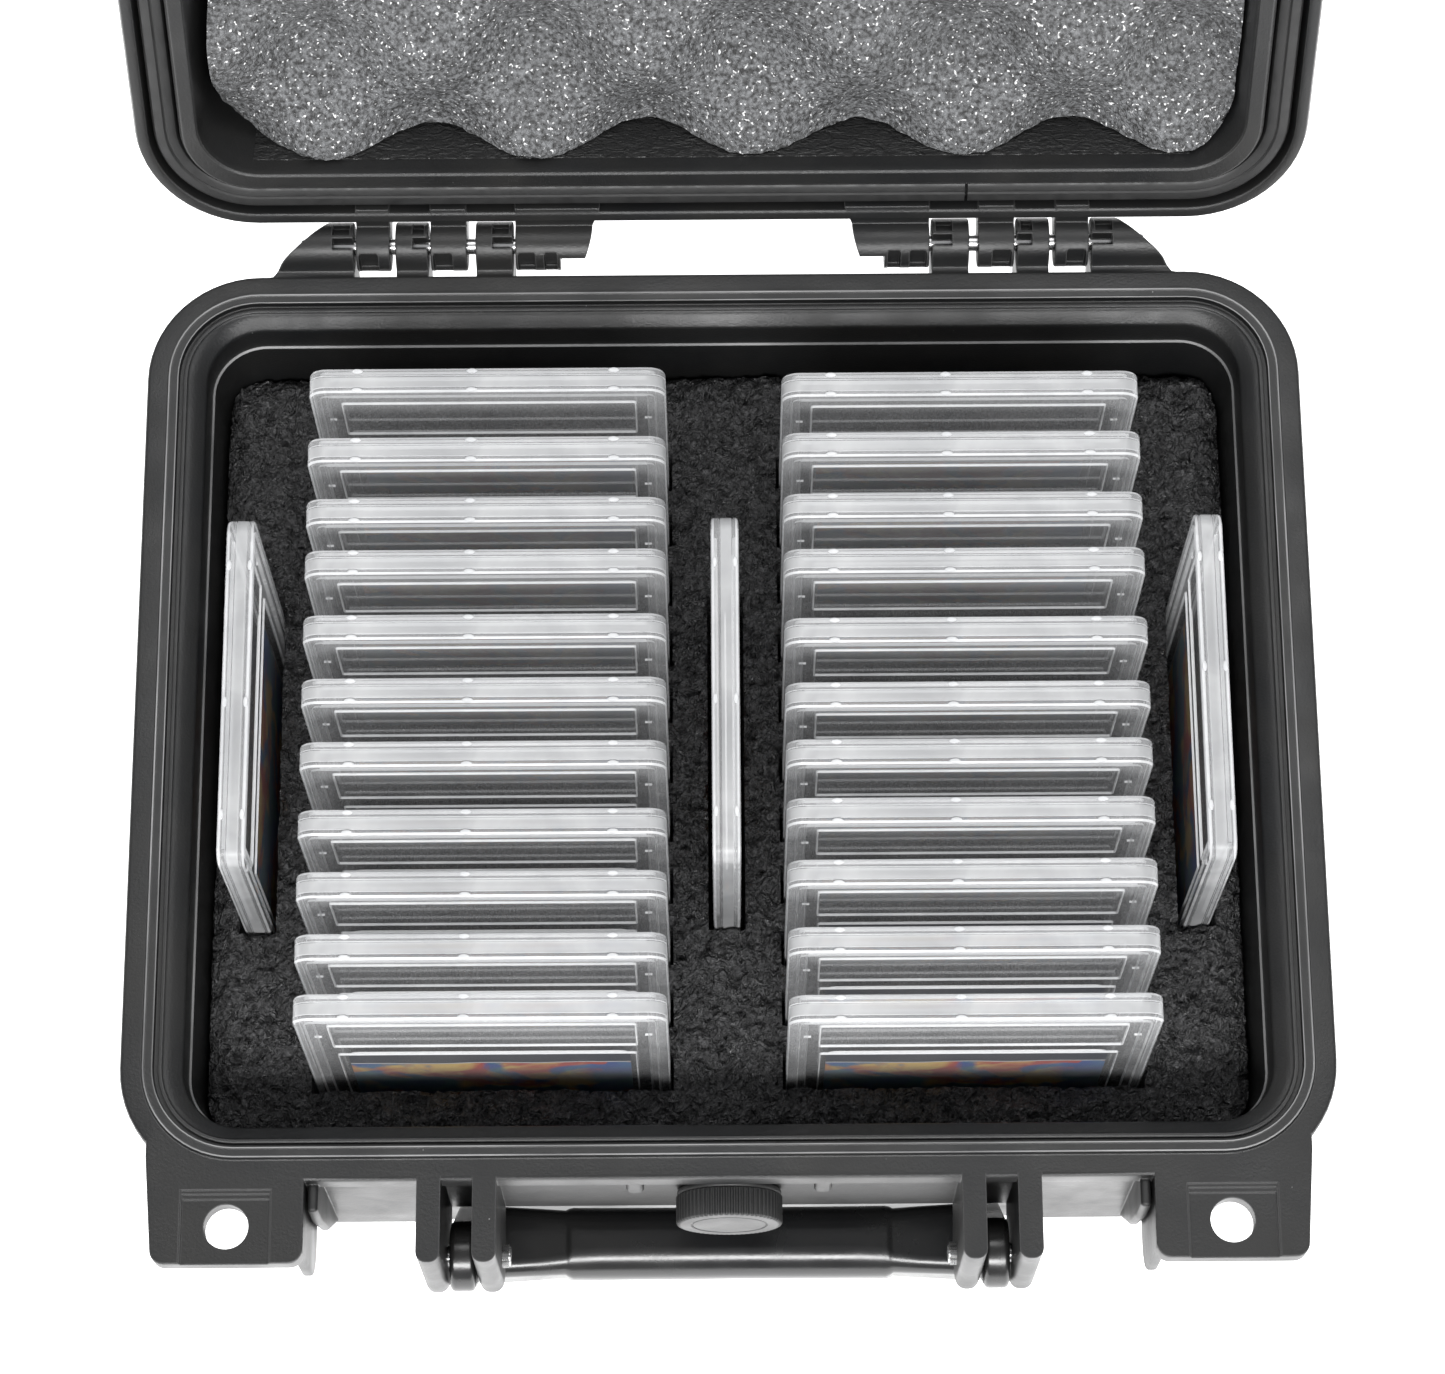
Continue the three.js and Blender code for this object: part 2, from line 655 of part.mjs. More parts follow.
function handle() {
  const pivot = { y: HANDLE_PIVOT.y, z: RIM_Z + HANDLE_PIVOT.z };
  const gripZ = RIM_Z + GRIP.z;
  const arm = new THREE.Shape();
  arm.moveTo(pivot.y + HANDLE_HUB.radius, pivot.z);
  arm.absarc(pivot.y, pivot.z, HANDLE_HUB.radius, 0, Math.PI);
  arm.lineTo(GRIP.y - GRIP.halfY, gripZ + 2);
  arm.absarc(GRIP.y - GRIP.halfY + 6, gripZ - 1, 6, Math.PI, Math.PI * 1.5);
  arm.absarc(GRIP.y + GRIP.halfY - 6, gripZ - 1, 6, Math.PI * 1.5, Math.PI * 2);
  arm.lineTo(GRIP.y + GRIP.halfY, gripZ + 5);
  const halfHub = HANDLE_HUB.width / 2;
  const arms = [-1, 1].map((side) =>
    plate(arm, [side * HANDLE_HUB.centre - halfHub, side * HANDLE_HUB.centre + halfHub], 5),
  );
  const section = roundedRectangle({ halfX: GRIP.halfY - 0.3, halfY: GRIP.halfZ - 0.3, radius: 5.5 });
  const reach = HANDLE_HUB.centre;
  const grip = plate(section, [-reach, reach], 4).translate([0, GRIP.y, gripZ]);
  const bores = [-1, 1].map((side) =>
    rodX(HANDLE_BORE_RADIUS, span(side, [55, 65]), pivot.y, pivot.z, 16),
  );
  return cut(join([...arms, grip]), bores);
}

function handlePin(side) {
  return rodX(HANDLE_PIN_RADIUS, span(side, HANDLE_PIN_SPAN), HANDLE_PIVOT.y, RIM_Z + HANDLE_PIVOT.z, 16);
}

const valveHeight = RIM_Z + VALVE_Z;

function valveHousing() {
  const collar = rodY(VALVE_COLLAR_RADIUS, [-108.5, -106.9], 0, valveHeight, 32);
  return collar.add(rodY(VALVE_STEM_RADIUS, [-108, -95], 0, valveHeight));
}

function valveORing() {
  const { inner, outer, halfHeight: h } = VALVE_O_RING;
  const profile = [[inner, -h], [outer, -h], [outer, h], [inner, h], [inner, -h]];
  const geometry = new THREE.LatheGeometry(profile.map(([x, y]) => new THREE.Vector2(x, y)), 32);
  geometry.translate(0, -107.6, valveHeight);
  return solidOf(geometry);
}

// A round knob with shallow finger flutes.
function valveKnob() {
  const flutes = 20;
  const points = [];
  for (let i = 0; i < flutes * 2; i++) {
    const radius = i % 2 ? 11.5 : 12;
    const angle = (i * Math.PI) / flutes;
    points.push([radius * Math.cos(angle), radius * Math.sin(angle)]);
  }
  const geometry = new THREE.ExtrudeGeometry(polygon(points), { depth: KNOB_DEPTH, bevelEnabled: false });
  geometry.rotateX(Math.PI / 2);
  geometry.translate(0, -108.8, valveHeight);
  return solidOf(geometry);
}

function valveNut() {
  const body = rodY(8, [-98.5, -95.1], 0, valveHeight, 6);
  return cut(body, [rodY(VALVE_STEM_RADIUS + GAP, [-100, -90], 0, valveHeight)]);
}

// ---------------------------------------------------------------- foam and slabs

// Where each slab stands: its centre, its lean, and whether it is turned to face sideways.
function slabPlaces() {
  const places = [];
  [["left", -1, LEAN_LEFT], ["right", 1, LEAN_RIGHT]].forEach(([side, sign, leans]) => {
    leans.forEach((lean, i) => {
      const name = `slab_${side}_${String(i + 1).padStart(2, "0")}`;
      places.push({ name, x: sign * COLUMN_X, y: COLUMN_BACK_Y - i * SLAB_PITCH, lean, turned: false });
    });
  });
  places.push({ name: "slab_side_left", x: -SIDE_SLAB_X, y: SIDE_SLAB_Y, lean: 0, turned: true });
  places.push({ name: "slab_centre", x: 0, y: SIDE_SLAB_Y, lean: 0, turned: true });
  places.push({ name: "slab_side_right", x: SIDE_SLAB_X, y: SIDE_SLAB_Y, lean: 0, turned: true });
  return places;
}

function baseFoam() {
  const side = 0.4;
  const draftPerMm = CAVITY_DRAFT / (RIM_Z - MOUTH_DEPTH - FLOOR_THICKNESS);
  const insetAt = (z) => draftPerMm * (RIM_Z - MOUTH_DEPTH - z) + side;
  const low = PAD_TOP_Z + GAP;
  const foam = loft(CAVITY, [[low, insetAt(low)], [FOAM_TOP_Z, insetAt(FOAM_TOP_Z)]]);
  const slots = slabPlaces().map(({ x, y, turned }) => {
    const halfX = (turned ? SLOT.thickness : SLOT.width) / 2;
    const halfY = (turned ? SLOT.width : SLOT.thickness) / 2;
    return block([x - halfX, x + halfX], [y - halfY, y + halfY], [low - 1, FOAM_TOP_Z + 1]);
  });
  return cut(foam, slots);
}

function baseFoamPad() {
  const inset = CAVITY_DRAFT + 0.4;
  return loft(CAVITY, [[FLOOR_THICKNESS + GAP, inset], [PAD_TOP_Z, inset]]);
}

// One slab, standing on the middle of its lower edge at the origin, its faces towards +Y and -Y.
// Both faces have a shallow label window over a card window.
function slab() {
  const { width, height, thickness, corner } = SLAB;
  const outline = roundedRectangle({ halfX: width / 2, halfY: height / 2, radius: corner });
  const body = prism(outline, -thickness / 2, thickness / 2, 2);
  const depth = 0.9;
  const windows = [];
  for (const face of [-1, 1]) {
    const z = face > 0 ? [thickness / 2 - depth, 5] : [-5, depth - thickness / 2];
    windows.push(block([-31.2, 31.2], [39, 60], z), block([-34.5, 34.5], [-60, 34], z));
  }
  return cut(body, windows).translate([0, height / 2, 0]).rotate([90, 0, 0]);
}

function slabMesh({ name, x, y, lean, turned }, shape) {
  const mesh = named(name, shape, clearPlastic());
  const midSlot = (PAD_TOP_Z + FOAM_TOP_Z) / 2;
  const angle = THREE.MathUtils.degToRad(lean);
  const below = midSlot - SLAB_BOTTOM_Z;
  mesh.position.set(x, y - below * Math.sin(angle), midSlot - below * Math.cos(angle));
  mesh.rotation.set(-angle, 0, turned ? Math.PI / 2 : 0, "ZXY");
  return mesh;
}

// ---------------------------------------------------------------- assembly

const carryCase = new THREE.Group();
carryCase.name = "card_slab_case";

carryCase.add(
  named("base_shell", baseShell(), shellBlack()),
  named("base_foam", baseFoam(), blackFoam()),
  named("base_foam_pad", baseFoamPad(), blackFoam()),
  named("handle", handle(), leverBlack()),
  named("valve_housing", valveHousing(), leverBlack()),
  named("valve_o_ring", valveORing(), rubber()),
  named("valve_knob", valveKnob(), leverBlack()),
  named("valve_nut", valveNut(), leverBlack()),
);
for (const [name, side] of SIDES) {
  carryCase.add(named(`hinge_pin_${name}`, hingePin(side), steel()));
  carryCase.add(named(`handle_pin_${name}`, handlePin(side), steel()));
}

// The lid group turns about the hinge axis, and each latch turns about its own pin inside it.
const lid = new THREE.Group();
lid.position.set(0, HINGE_Y, RIM_Z);
lid.rotation.x = -LID_OPEN_ANGLE;
carryCase.add(lid);

function onHinge(mesh) {
  mesh.position.set(0, -HINGE_Y, -RIM_Z);
  return mesh;
}
lid.add(
  onHinge(named("lid_shell", lidShell(), shellBlack())),
  onHinge(named("lid_gasket", lidGasket(), rubber())),
  onHinge(named("lid_foam", lidFoam(), greyFoam())),
);
for (const [name, side] of SIDES) {
  lid.add(onHinge(named(`latch_pin_${name}`, latchPin(side), steel())));
  const latch = new THREE.Group();
  latch.position.set(0, LATCH.pivotY - HINGE_Y, LATCH.pivotZ);
  latch.rotation.x = -LATCH_OPEN_ANGLE;
  const lever = named(`latch_${name}`, latchLever(side), leverBlack());
  lever.position.set(0, -LATCH.pivotY, -RIM_Z - LATCH.pivotZ);
  latch.add(lever);
  lid.add(latch);
}

const slabShape = slab();
for (const place of slabPlaces()) {
  carryCase.add(slabMesh(place, slabShape));
}

export default carryCase;
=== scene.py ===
"""Looks for a hard case that stores card slabs upright in slotted foam.

Lengths are in millimetres until a mesh is made. Everything on the lid is drawn as if the lid were
shut, and is then turned back about the hinge to where it rests.
"""
import json
import math
from collections import namedtuple

import bmesh
import bpy
import numpy as np
from mathutils import Matrix, Vector, noise


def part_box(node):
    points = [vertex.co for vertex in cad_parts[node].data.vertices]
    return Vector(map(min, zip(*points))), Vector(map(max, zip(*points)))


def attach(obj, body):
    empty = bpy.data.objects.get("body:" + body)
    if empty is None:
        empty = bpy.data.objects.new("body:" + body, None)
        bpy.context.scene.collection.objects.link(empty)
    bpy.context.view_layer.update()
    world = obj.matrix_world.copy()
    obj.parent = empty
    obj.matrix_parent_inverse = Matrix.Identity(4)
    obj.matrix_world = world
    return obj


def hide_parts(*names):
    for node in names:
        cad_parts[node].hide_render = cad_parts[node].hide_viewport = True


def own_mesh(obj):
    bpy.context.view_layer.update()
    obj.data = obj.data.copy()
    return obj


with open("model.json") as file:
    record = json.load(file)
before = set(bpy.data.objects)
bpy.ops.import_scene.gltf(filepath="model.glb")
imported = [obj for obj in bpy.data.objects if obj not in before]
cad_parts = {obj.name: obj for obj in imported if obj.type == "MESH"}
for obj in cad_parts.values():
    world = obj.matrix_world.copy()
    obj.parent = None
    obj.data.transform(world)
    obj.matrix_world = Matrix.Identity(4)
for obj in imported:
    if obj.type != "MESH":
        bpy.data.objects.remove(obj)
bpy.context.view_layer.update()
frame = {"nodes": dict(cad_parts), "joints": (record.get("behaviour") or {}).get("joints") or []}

# ---------------------------------------------------------------- driving dimensions

Outline = namedtuple("Outline", "half_x half_y radius centre_y")

MM = 0.001
RIM_Z = 121.0  # the parting plane between base and lid
RIM = Outline(135.5, 109.0, 26.0, 0.2)
CAVITY = Outline(121.5, 96.0, 13.0, 0.0)
LID_CAVITY = Outline(121.5, 95.0, 13.5, 0.0)
CAVITY_DRAFT = 5.5
HINGE_Y = 116.6
LID_OPEN = math.radians(116)
KNUCKLE_RADIUS = 5.8
BASE_KNUCKLES = ((49.6, 58.4), (69.7, 77.4), (87.3, 112.0))
LID_KNUCKLES = ((27.0, 49.0), (60.5, 69.1), (78.7, 86.7))
TAB_X = (93.7, 127.8)
TAB_FRONT = -127.0
PADLOCK_HOLE = (110.8, -118.6, 4.95)
SKIRT_FRONT = -106.6
EAR_CENTRES = (54.0, 66.3)
EAR_THICKNESS = 5.3
HANDLE_PIVOT = (-120.0, RIM_Z - 30)
HUB_CENTRE = 60.15
HUB_WIDTH = 5.8
GRIP_Y = -111.3
GRIP_Z = RIM_Z - 61
HANDLE_BORE = 2.55
HINGE_BORE = 2.35
LATCH_BORE = 1.95
LATCH_X = (69.3, 90.3)
LATCH_PIVOT = (-114.5, RIM_Z + 13)
LATCH_OPEN = math.radians(60)
LATCH_LUGS = ((66.3, 68.8), (90.9, 93.9))
VALVE_Z = RIM_Z - 22
SLAB = Outline(40.5, 67.5, 4.0, 0.0)
SLOT_HALF_WIDTH = 41.3
SLOT_HALF_THICKNESS = 4.3
FOAM_TOP_Z = 97.5
PAD_TOP_Z = 17.5
LID_FOAM = Outline(117.6, 92.2, 11.0, 0.0)
LID_FOAM_X = 1.2
WAVE_PITCH = 50.0
WAVE_SHIFT = 7.0
CORNER_STEPS = 14
# Painted highlights on the base, drawn as light lines along its ridges and moulding step: from and to a
# height, inside half a width and depth, and how bright.
PAINTED_HIGHLIGHT_LINES = (
    (RIM_Z + 1.18, RIM_Z + 2.0, 132.0, 105.0, 0.55),
    (RIM_Z - 10.95, RIM_Z - 10.5, 122.4, 97.0, 0.5),
)
SIDES = (("left", -1), ("right", 1))

# ---------------------------------------------------------------- stage


def make_camera():
    data = bpy.data.cameras.new("camera")
    data.sensor_width = 36
    data.lens = 103.8
    camera = bpy.data.objects.new("camera", data)
    bpy.context.scene.collection.objects.link(camera)
    camera.location = Vector((-0.7, -300.65, 1025.6)) * MM
    tilt = Matrix.Rotation(math.radians(18.7), 4, "X")
    roll = Matrix.Rotation(math.radians(-0.4), 4, "Z")
    camera.rotation_euler = (tilt @ roll).to_euler()
    bpy.context.scene.camera = camera


def area_light(name, location, target, size, power):
    data = bpy.data.lights.new(name, "AREA")
    data.shape = "RECTANGLE"
    data.size, data.size_y = size
    data.energy = power
    light = bpy.data.objects.new(name, data)
    bpy.context.scene.collection.objects.link(light)
    light.location = location
    aim = Vector(target) - Vector(location)
    light.rotation_euler = aim.to_track_quat("-Z", "Y").to_euler()


def make_stage():
    world = bpy.data.worlds.new("studio")
    bpy.context.scene.world = world
    world.use_nodes = True
    background = world.node_tree.nodes["Background"]
    background.inputs["Color"].default_value = (0.97, 0.98, 1.0, 1)
    background.inputs["Strength"].default_value = 0.42
    area_light("key", (0.1, 0.62, 1.75), (0, 0.02, 0.1), (1.5, 0.7), 11)
    area_light("front", (0, -1.75, 2.05), (0, 0, 0.1), (2.2, 0.55), 92)
    bpy.context.scene.view_settings.view_transform = "Standard"
    bpy.ops.mesh.primitive_plane_add(size=9, location=(0, 0, 0))
    floor = bpy.context.object
    floor.name = "floor"
    paint = Paint("studio_floor", roughness=0.9)
    paint.set("Base Color", (0.93, 0.93, 0.93, 1))
    paint.set("Emission Color", (1, 1, 1, 1))
    paint.set("Emission Strength", 1.5)
    floor.data.materials.append(paint.material)


# ---------------------------------------------------------------- materials


class Paint:
    """A Principled material that is built up node by node. Positions are in metres."""

    def __init__(self, name, roughness=0.5):
        self.material = bpy.data.materials.new(name)
        self.material.use_nodes = True
        self.tree = self.material.node_tree
        self.shader = self.tree.nodes["Principled BSDF"]
        self.set("Roughness", roughness)
        self.place = self.node("ShaderNodeTexCoord").outputs["Object"]

    def set(self, name, value):
        """Gives a socket of the shader a number, or links it."""
        self.feed(self.shader.inputs[name], value)

    def feed(self, socket, value):
        if isinstance(value, bpy.types.NodeSocket):
            self.tree.links.new(value, socket)
        else:
            socket.default_value = value

    def node(self, kind, inputs=None, **settings):
        made = self.tree.nodes.new(kind)
        for key, value in settings.items():
            setattr(made, key, value)
        for key, value in (inputs or {}).items():
            self.feed(made.inputs[key], value)
        return made

    def noise(self, size_mm, detail=2.0, distortion=0.0, stretch=None):
        """Soft noise whose lumps are about size_mm across."""
        place = self.place
        if stretch:
            place = self.node("ShaderNodeMapping", {"Vector": place, "Scale": stretch}).outputs[0]
        inputs = {"Vector": place, "Scale": 1000 / size_mm, "Detail": detail, "Distortion": distortion}
        return self.node("ShaderNodeTexNoise", inputs).outputs["Fac"]

    def cells(self, size_mm, feature="F1"):
        inputs = {"Vector": self.place, "Scale": 1000 / size_mm}
        return self.node("ShaderNodeTexVoronoi", inputs, feature=feature)

    def ramp(self, value, low, high, out_low=0.0, out_high=1.0):
        inputs = {"Value": value, "From Min": low, "From Max": high}
        inputs.update({"To Min": out_low, "To Max": out_high})
        return self.node("ShaderNodeMapRange", inputs).outputs[0]

    def mix(self, factor, first, second):
        made = self.node("ShaderNodeMix", data_type="RGBA")
        self.feed(made.inputs[0], factor)
        self.feed(made.inputs[6], first)
        self.feed(made.inputs[7], second)
        return made.outputs[2]

    def maths(self, operation, first, second=0.0):
        made = self.node("ShaderNodeMath", operation=operation)
        self.feed(made.inputs[0], first)
        self.feed(made.inputs[1], second)
        return made.outputs[0]

    def bump(self, height, strength, depth_mm, normal=None):
        inputs = {"Height": height, "Strength": strength, "Distance": depth_mm * MM}
        made = self.node("ShaderNodeBump", inputs)
        if normal is not None:
            self.feed(made.inputs["Normal"], normal)
        return made.outputs[0]

    def rounded_edges(self, radius_mm):
        """The surface's normal with its edges rounded off, and how much of an edge a point is."""
        rounded = self.node("ShaderNodeBevel", {"Radius": radius_mm * MM}, samples=4).outputs[0]
        flat = self.node("ShaderNodeNewGeometry").outputs["Normal"]
        turned = self.node("ShaderNodeVectorMath", operation="DOT_PRODUCT")
        self.feed(turned.inputs[0], rounded)
        self.feed(turned.inputs[1], flat)
        return rounded, self.ramp(turned.outputs["Value"], 0.995, 0.85)


def grey(value, tint=(1, 1, 1)):
    return (value * tint[0], value * tint[1], value * tint[2], 1)


def painted_highlight_lines(paint, colour):
    """Paints highlights onto the base's sealing ridges and the moulding line round its inner wall, as
    lighter grey lines in patches.
    """
    place = paint.node("ShaderNodeSeparateXYZ", {"Vector": paint.place}).outputs
    across = paint.maths("ABSOLUTE", place["X"])
    along = paint.maths("ABSOLUTE", place["Y"])
    lines = None
    for low, high, half_x, half_y, strength in PAINTED_HIGHLIGHT_LINES:
        low, high, half_x, half_y = (v * MM for v in (low, high, half_x, half_y))
        soft = 0.05 * MM
        mask = paint.ramp(place["Z"], low, low + soft)
        mask = paint.maths("MULTIPLY", mask, paint.ramp(place["Z"], high + soft, high))
        mask = paint.maths("MULTIPLY", mask, paint.ramp(across, half_x + soft, half_x))
        mask = paint.maths("MULTIPLY", mask, paint.ramp(along, half_y + soft, half_y))
        mask = paint.maths("MULTIPLY", mask, strength)
        lines = mask if lines is None else paint.maths("ADD", lines, mask)
    patchy = paint.ramp(paint.noise(30, detail=3), 0.3, 0.62, 0.35, 1.0)
    return paint.mix(paint.maths("MULTIPLY", lines, patchy), colour, grey(0.5))


def moulded_plastic(
    name, value, roughness, grain_mm, grain, edge_mm=0.5, edge_highlight=0.5, lines=False, shine=0.42
):
    """Black moulded plastic: fine grain, faint flow marks, dust, and rounded edges painted lighter as a
    highlight.
    """
    paint = Paint(name)
    paint.set("Specular IOR Level", shine)
    normal, edge = paint.rounded_edges(edge_mm)
    flow = paint.noise(26, detail=4, distortion=0.6)
    cool = grey(value, (0.96, 1.0, 1.06))
    warm = grey(value * 1.5, (1.03, 1.01, 0.97))
    colour = paint.mix(paint.ramp(flow, 0.35, 0.7), cool, warm)
    # Painted highlight: rounded edges are mixed towards a light grey.
    colour = paint.mix(paint.maths("MULTIPLY", edge, edge_highlight), colour, grey(0.17))
    dust = paint.cells(5.5)
    speck = paint.ramp(dust.outputs["Distance"], 0.035, 0.02)
    chosen = paint.ramp(paint.noise(9, detail=0), 0.6, 0.62)
    speck = paint.maths("MULTIPLY", speck, chosen)
    colour = paint.mix(paint.maths("MULTIPLY", speck, 0.55), colour, grey(0.42))
    # Painted highlights: light grey lines on the ridges and the moulding line.
    if lines:
        colour = painted_highlight_lines(paint, colour)
    paint.set("Base Color", colour)
    smudge = paint.noise(14, detail=5, distortion=0.3)
    paint.set("Roughness", paint.ramp(smudge, 0.3, 0.75, roughness - 0.07, roughness + 0.09))
    fine = paint.noise(grain_mm, detail=3)
    broad = paint.noise(38, detail=1)
    height = paint.maths("ADD", fine, paint.maths("MULTIPLY", broad, 3.0))
    paint.set("Normal", paint.bump(height, grain, 0.12, normal))
    return paint.material


def black_rubber():
    paint = Paint("gasket_rubber")
    colour = paint.mix(paint.noise(6, detail=3), grey(0.012), grey(0.028))
    paint.set("Base Color", colour)
    paint.set("Roughness", paint.ramp(paint.noise(3, detail=3), 0.3, 0.7, 0.42, 0.62))
    paint.set("Normal", paint.bump(paint.noise(0.9), 0.3, 0.1))
    return paint.material


def bright_steel():
    paint = Paint("pin_steel")
    streaks = paint.noise(0.5, detail=3, stretch=(0.05, 1, 1))
    paint.set("Base Color", paint.mix(streaks, grey(0.55), grey(0.85)))
    paint.set("Metallic", 1.0)
    paint.set("Roughness", paint.ramp(streaks, 0.3, 0.7, 0.18, 0.36))
    paint.set("Normal", paint.bump(streaks, 0.2, 0.05))
    return paint.material


def cut_foam():
    """Black closed-cell foam: torn skins that glint where they face the light."""
    paint = Paint("cut_foam")
    torn = paint.noise(3.4, detail=3, distortion=1.7)
    fine = paint.noise(1.2, detail=3, distortion=1.2)
    colour = paint.mix(paint.ramp(fine, 0.35, 0.7), grey(0.01), grey(0.09, (1, 1.0, 1.03)))
    paint.set("Base Color", colour)
    wet = paint.ramp(paint.noise(2.2, detail=2, distortion=1.0), 0.46, 0.6)
    paint.set("Roughness", paint.ramp(wet, 0, 1, 0.55, 0.16))
    height = paint.maths("ADD", torn, paint.maths("MULTIPLY", fine, 0.45))
    paint.set("Normal", paint.bump(height, 1.0, 3.8))
    return paint.material


def convoluted_foam():
    """Grey open-cell foam: fine pores, shinier struts, and painted glints of near-white specks."""
    paint = Paint("convoluted_foam")
    pores = paint.cells(1.2, "DISTANCE_TO_EDGE")
    fine = paint.noise(1.1, detail=4)
    broad = paint.noise(40, detail=3)
    strut = paint.ramp(pores.outputs["Distance"], 0.16, 0.02)
    colour = paint.mix(paint.ramp(fine, 0.36, 0.66), grey(0.045), grey(0.25, (0.98, 1, 1.03)))
    colour = paint.mix(paint.ramp(broad, 0.3, 0.7, 0.0, 0.28), colour, grey(0.09))
    # Painted glints: small noise specks mixed to near white.
    painted_glint = paint.ramp(paint.noise(0.95, detail=1), 0.66, 0.72)
    colour = paint.mix(painted_glint, colour, grey(0.9))
    paint.set("Base Color", colour)
    paint.set("Roughness", paint.ramp(strut, 0, 1, 0.95, 0.5))
    height = paint.maths("SUBTRACT", fine, paint.maths("MULTIPLY", strut, 0.4))
    paint.set("Normal", paint.bump(height, 0.8, 0.7))
    return paint.material


def clear_plastic(name, face_on, glancing, shade, top_opacity=0.0, roughness=0.12):
    """Slab plastic: more see-through face on than at a glance, with cloudy patches."""
    paint = Paint(name)
    facing = paint.node("ShaderNodeLayerWeight", {"Blend": 0.4}).outputs["Facing"]
    haze = paint.noise(17, detail=4, distortion=0.5)
    alpha = paint.ramp(facing, 0.0, 0.9, face_on, glancing)
    height = paint.node("ShaderNodeSeparateXYZ", {"Vector": paint.place}).outputs["Z"]
    # Less see-through, so paler, towards the slab's top.
    opacity_near_top = paint.ramp(height, 0.048, 0.0665, 0.0, top_opacity)
    alpha = paint.maths("ADD", paint.maths("MULTIPLY", alpha, paint.ramp(haze, 0.3, 0.7, 0.8, 1.2)), opacity_near_top)
    paint.set("Alpha", paint.maths("MINIMUM", alpha, 1.0))
    paint.set("Base Color", paint.mix(haze, grey(shade * 0.93, (0.98, 1, 1.03)), grey(shade)))
    paint.set("Roughness", paint.ramp(paint.noise(4, detail=5), 0.3, 0.75, roughness, roughness + 0.12))
    streak = paint.noise(1.6, detail=2, stretch=(0.04, 1, 1))
    paint.set("Normal", paint.bump(streak, 0.25, 0.12))
    return paint.material


def textured_wall():
    """Coarse moulded texture that glints along its ridges."""
    paint = Paint("textured_wall")
    ridges = paint.noise(1.5, detail=3, distortion=1.0, stretch=(0.55, 1, 1))
    paint.set("Base Color", paint.mix(ridges, grey(0.008), grey(0.022)))
    paint.set("Roughness", paint.ramp(ridges, 0.4, 0.6, 0.5, 0.28))
    paint.set("Normal", paint.bump(ridges, 1.0, 0.8))
    return paint.material


def printed_card():
    """A card's face: a pale edge, a dark heading and soft blocks of colour, nothing to read."""
    paint = Paint("printed_card", roughness=0.35)
    spread = paint.noise(18, detail=3, distortion=1.2)
    second = paint.noise(11, detail=4, distortion=0.8)
    warm = paint.mix(paint.ramp(second, 0.42, 0.58), (0.42, 0.05, 0.03, 1), (0.6, 0.4, 0.1, 1))
    cool = paint.mix(paint.ramp(second, 0.4, 0.6), (0.03, 0.08, 0.28, 1), (0.05, 0.2, 0.24, 1))
    picture = paint.mix(paint.ramp(spread, 0.46, 0.54), warm, cool)
    parts = paint.node("ShaderNodeSeparateXYZ", {"Vector": paint.place})
    ripple = paint.maths("MULTIPLY", paint.noise(14, detail=0), 0.0024)
    up = paint.maths("ADD", parts.outputs["Z"], ripple)
    heading = paint.ramp(up, 0.0201, 0.0203)
    colour = paint.mix(heading, picture, (0.012, 0.016, 0.03, 1))
    rule = paint.maths("MULTIPLY", heading, paint.ramp(up, 0.0209, 0.0207))
    colour = paint.mix(rule, colour, grey(0.6))
    border = paint.ramp(parts.outputs["Z"], 0.0274, 0.0276)
    paint.set("Base Color", paint.mix(border, colour, grey(0.75)))
    paint.set("Normal", paint.bump(paint.noise(0.5), 0.1, 0.05))
    return paint.material


# ---------------------------------------------------------------- mesh helpers


def object_from(name, vertices, faces):
    mesh = bpy.data.meshes.new(name)
    mesh.from_pydata([Vector(v) * MM for v in vertices], [], faces)
    return linked(name, mesh)


def linked(name, mesh):
    made = bpy.data.objects.new(name, mesh)
    bpy.context.scene.collection.objects.link(made)
    return made


def outline_points(outline, inset=0.0, steps=CORNER_STEPS):
    """A rounded rectangle, moved inwards by inset, anticlockwise from its right-hand corner."""
    half_x, half_y = outline.half_x - inset, outline.half_y - inset
    radius = max(outline.radius - inset, 0.3)
    points = []
    for quarter, (sx, sy) in enumerate(((1, 1), (-1, 1), (-1, -1), (1, -1))):
        x, y = sx * (half_x - radius), outline.centre_y + sy * (half_y - radius)
        for i in range(steps + 1):
            angle = (quarter + i / steps) * math.pi / 2
            points.append((x + radius * math.cos(angle), y + radius * math.sin(angle)))
    return points


def arc(centre, radius, start, end, steps=10):
    """Points round part of a circle. Angles are in quarter turns."""
    return [
        (
            centre[0] + radius * math.cos((start + (end - start) * i / steps) * math.pi / 2),
            centre[1] + radius * math.sin((start + (end - start) * i / steps) * math.pi / 2),
        )
        for i in range(steps + 1)
    ]


def circle(radius, sides, centre=(0.0, 0.0)):
    """Points round a whole circle."""
    turns = [i * math.tau / sides for i in range(sides)]
    return [(centre[0] + radius * math.cos(t), centre[1] + radius * math.sin(t)) for t in turns]


def loft(name, rings, closed=False):
    """Joins rings of the same number of points, and closes both ends, or joins them to each other."""
    count = len(rings[0])
    vertices = [p for r in rings for p in r]
    faces = []
    pairs = [(k, k + 1) for k in range(len(rings) - 1)]
    if closed:
        pairs.append((len(rings) - 1, 0))
    for a, b in pairs:
        for i in range(count):
            j = (i + 1) % count
            faces.append((a * count + i, a * count + j, b * count + j, b * count + i))
    if not closed:
        faces.append(tuple(reversed(range(count))))
        last = (len(rings) - 1) * count
        faces.append(tuple(range(last, last + count)))
    made = object_from(name, vertices, faces)
    face_outwards(made)
    return made


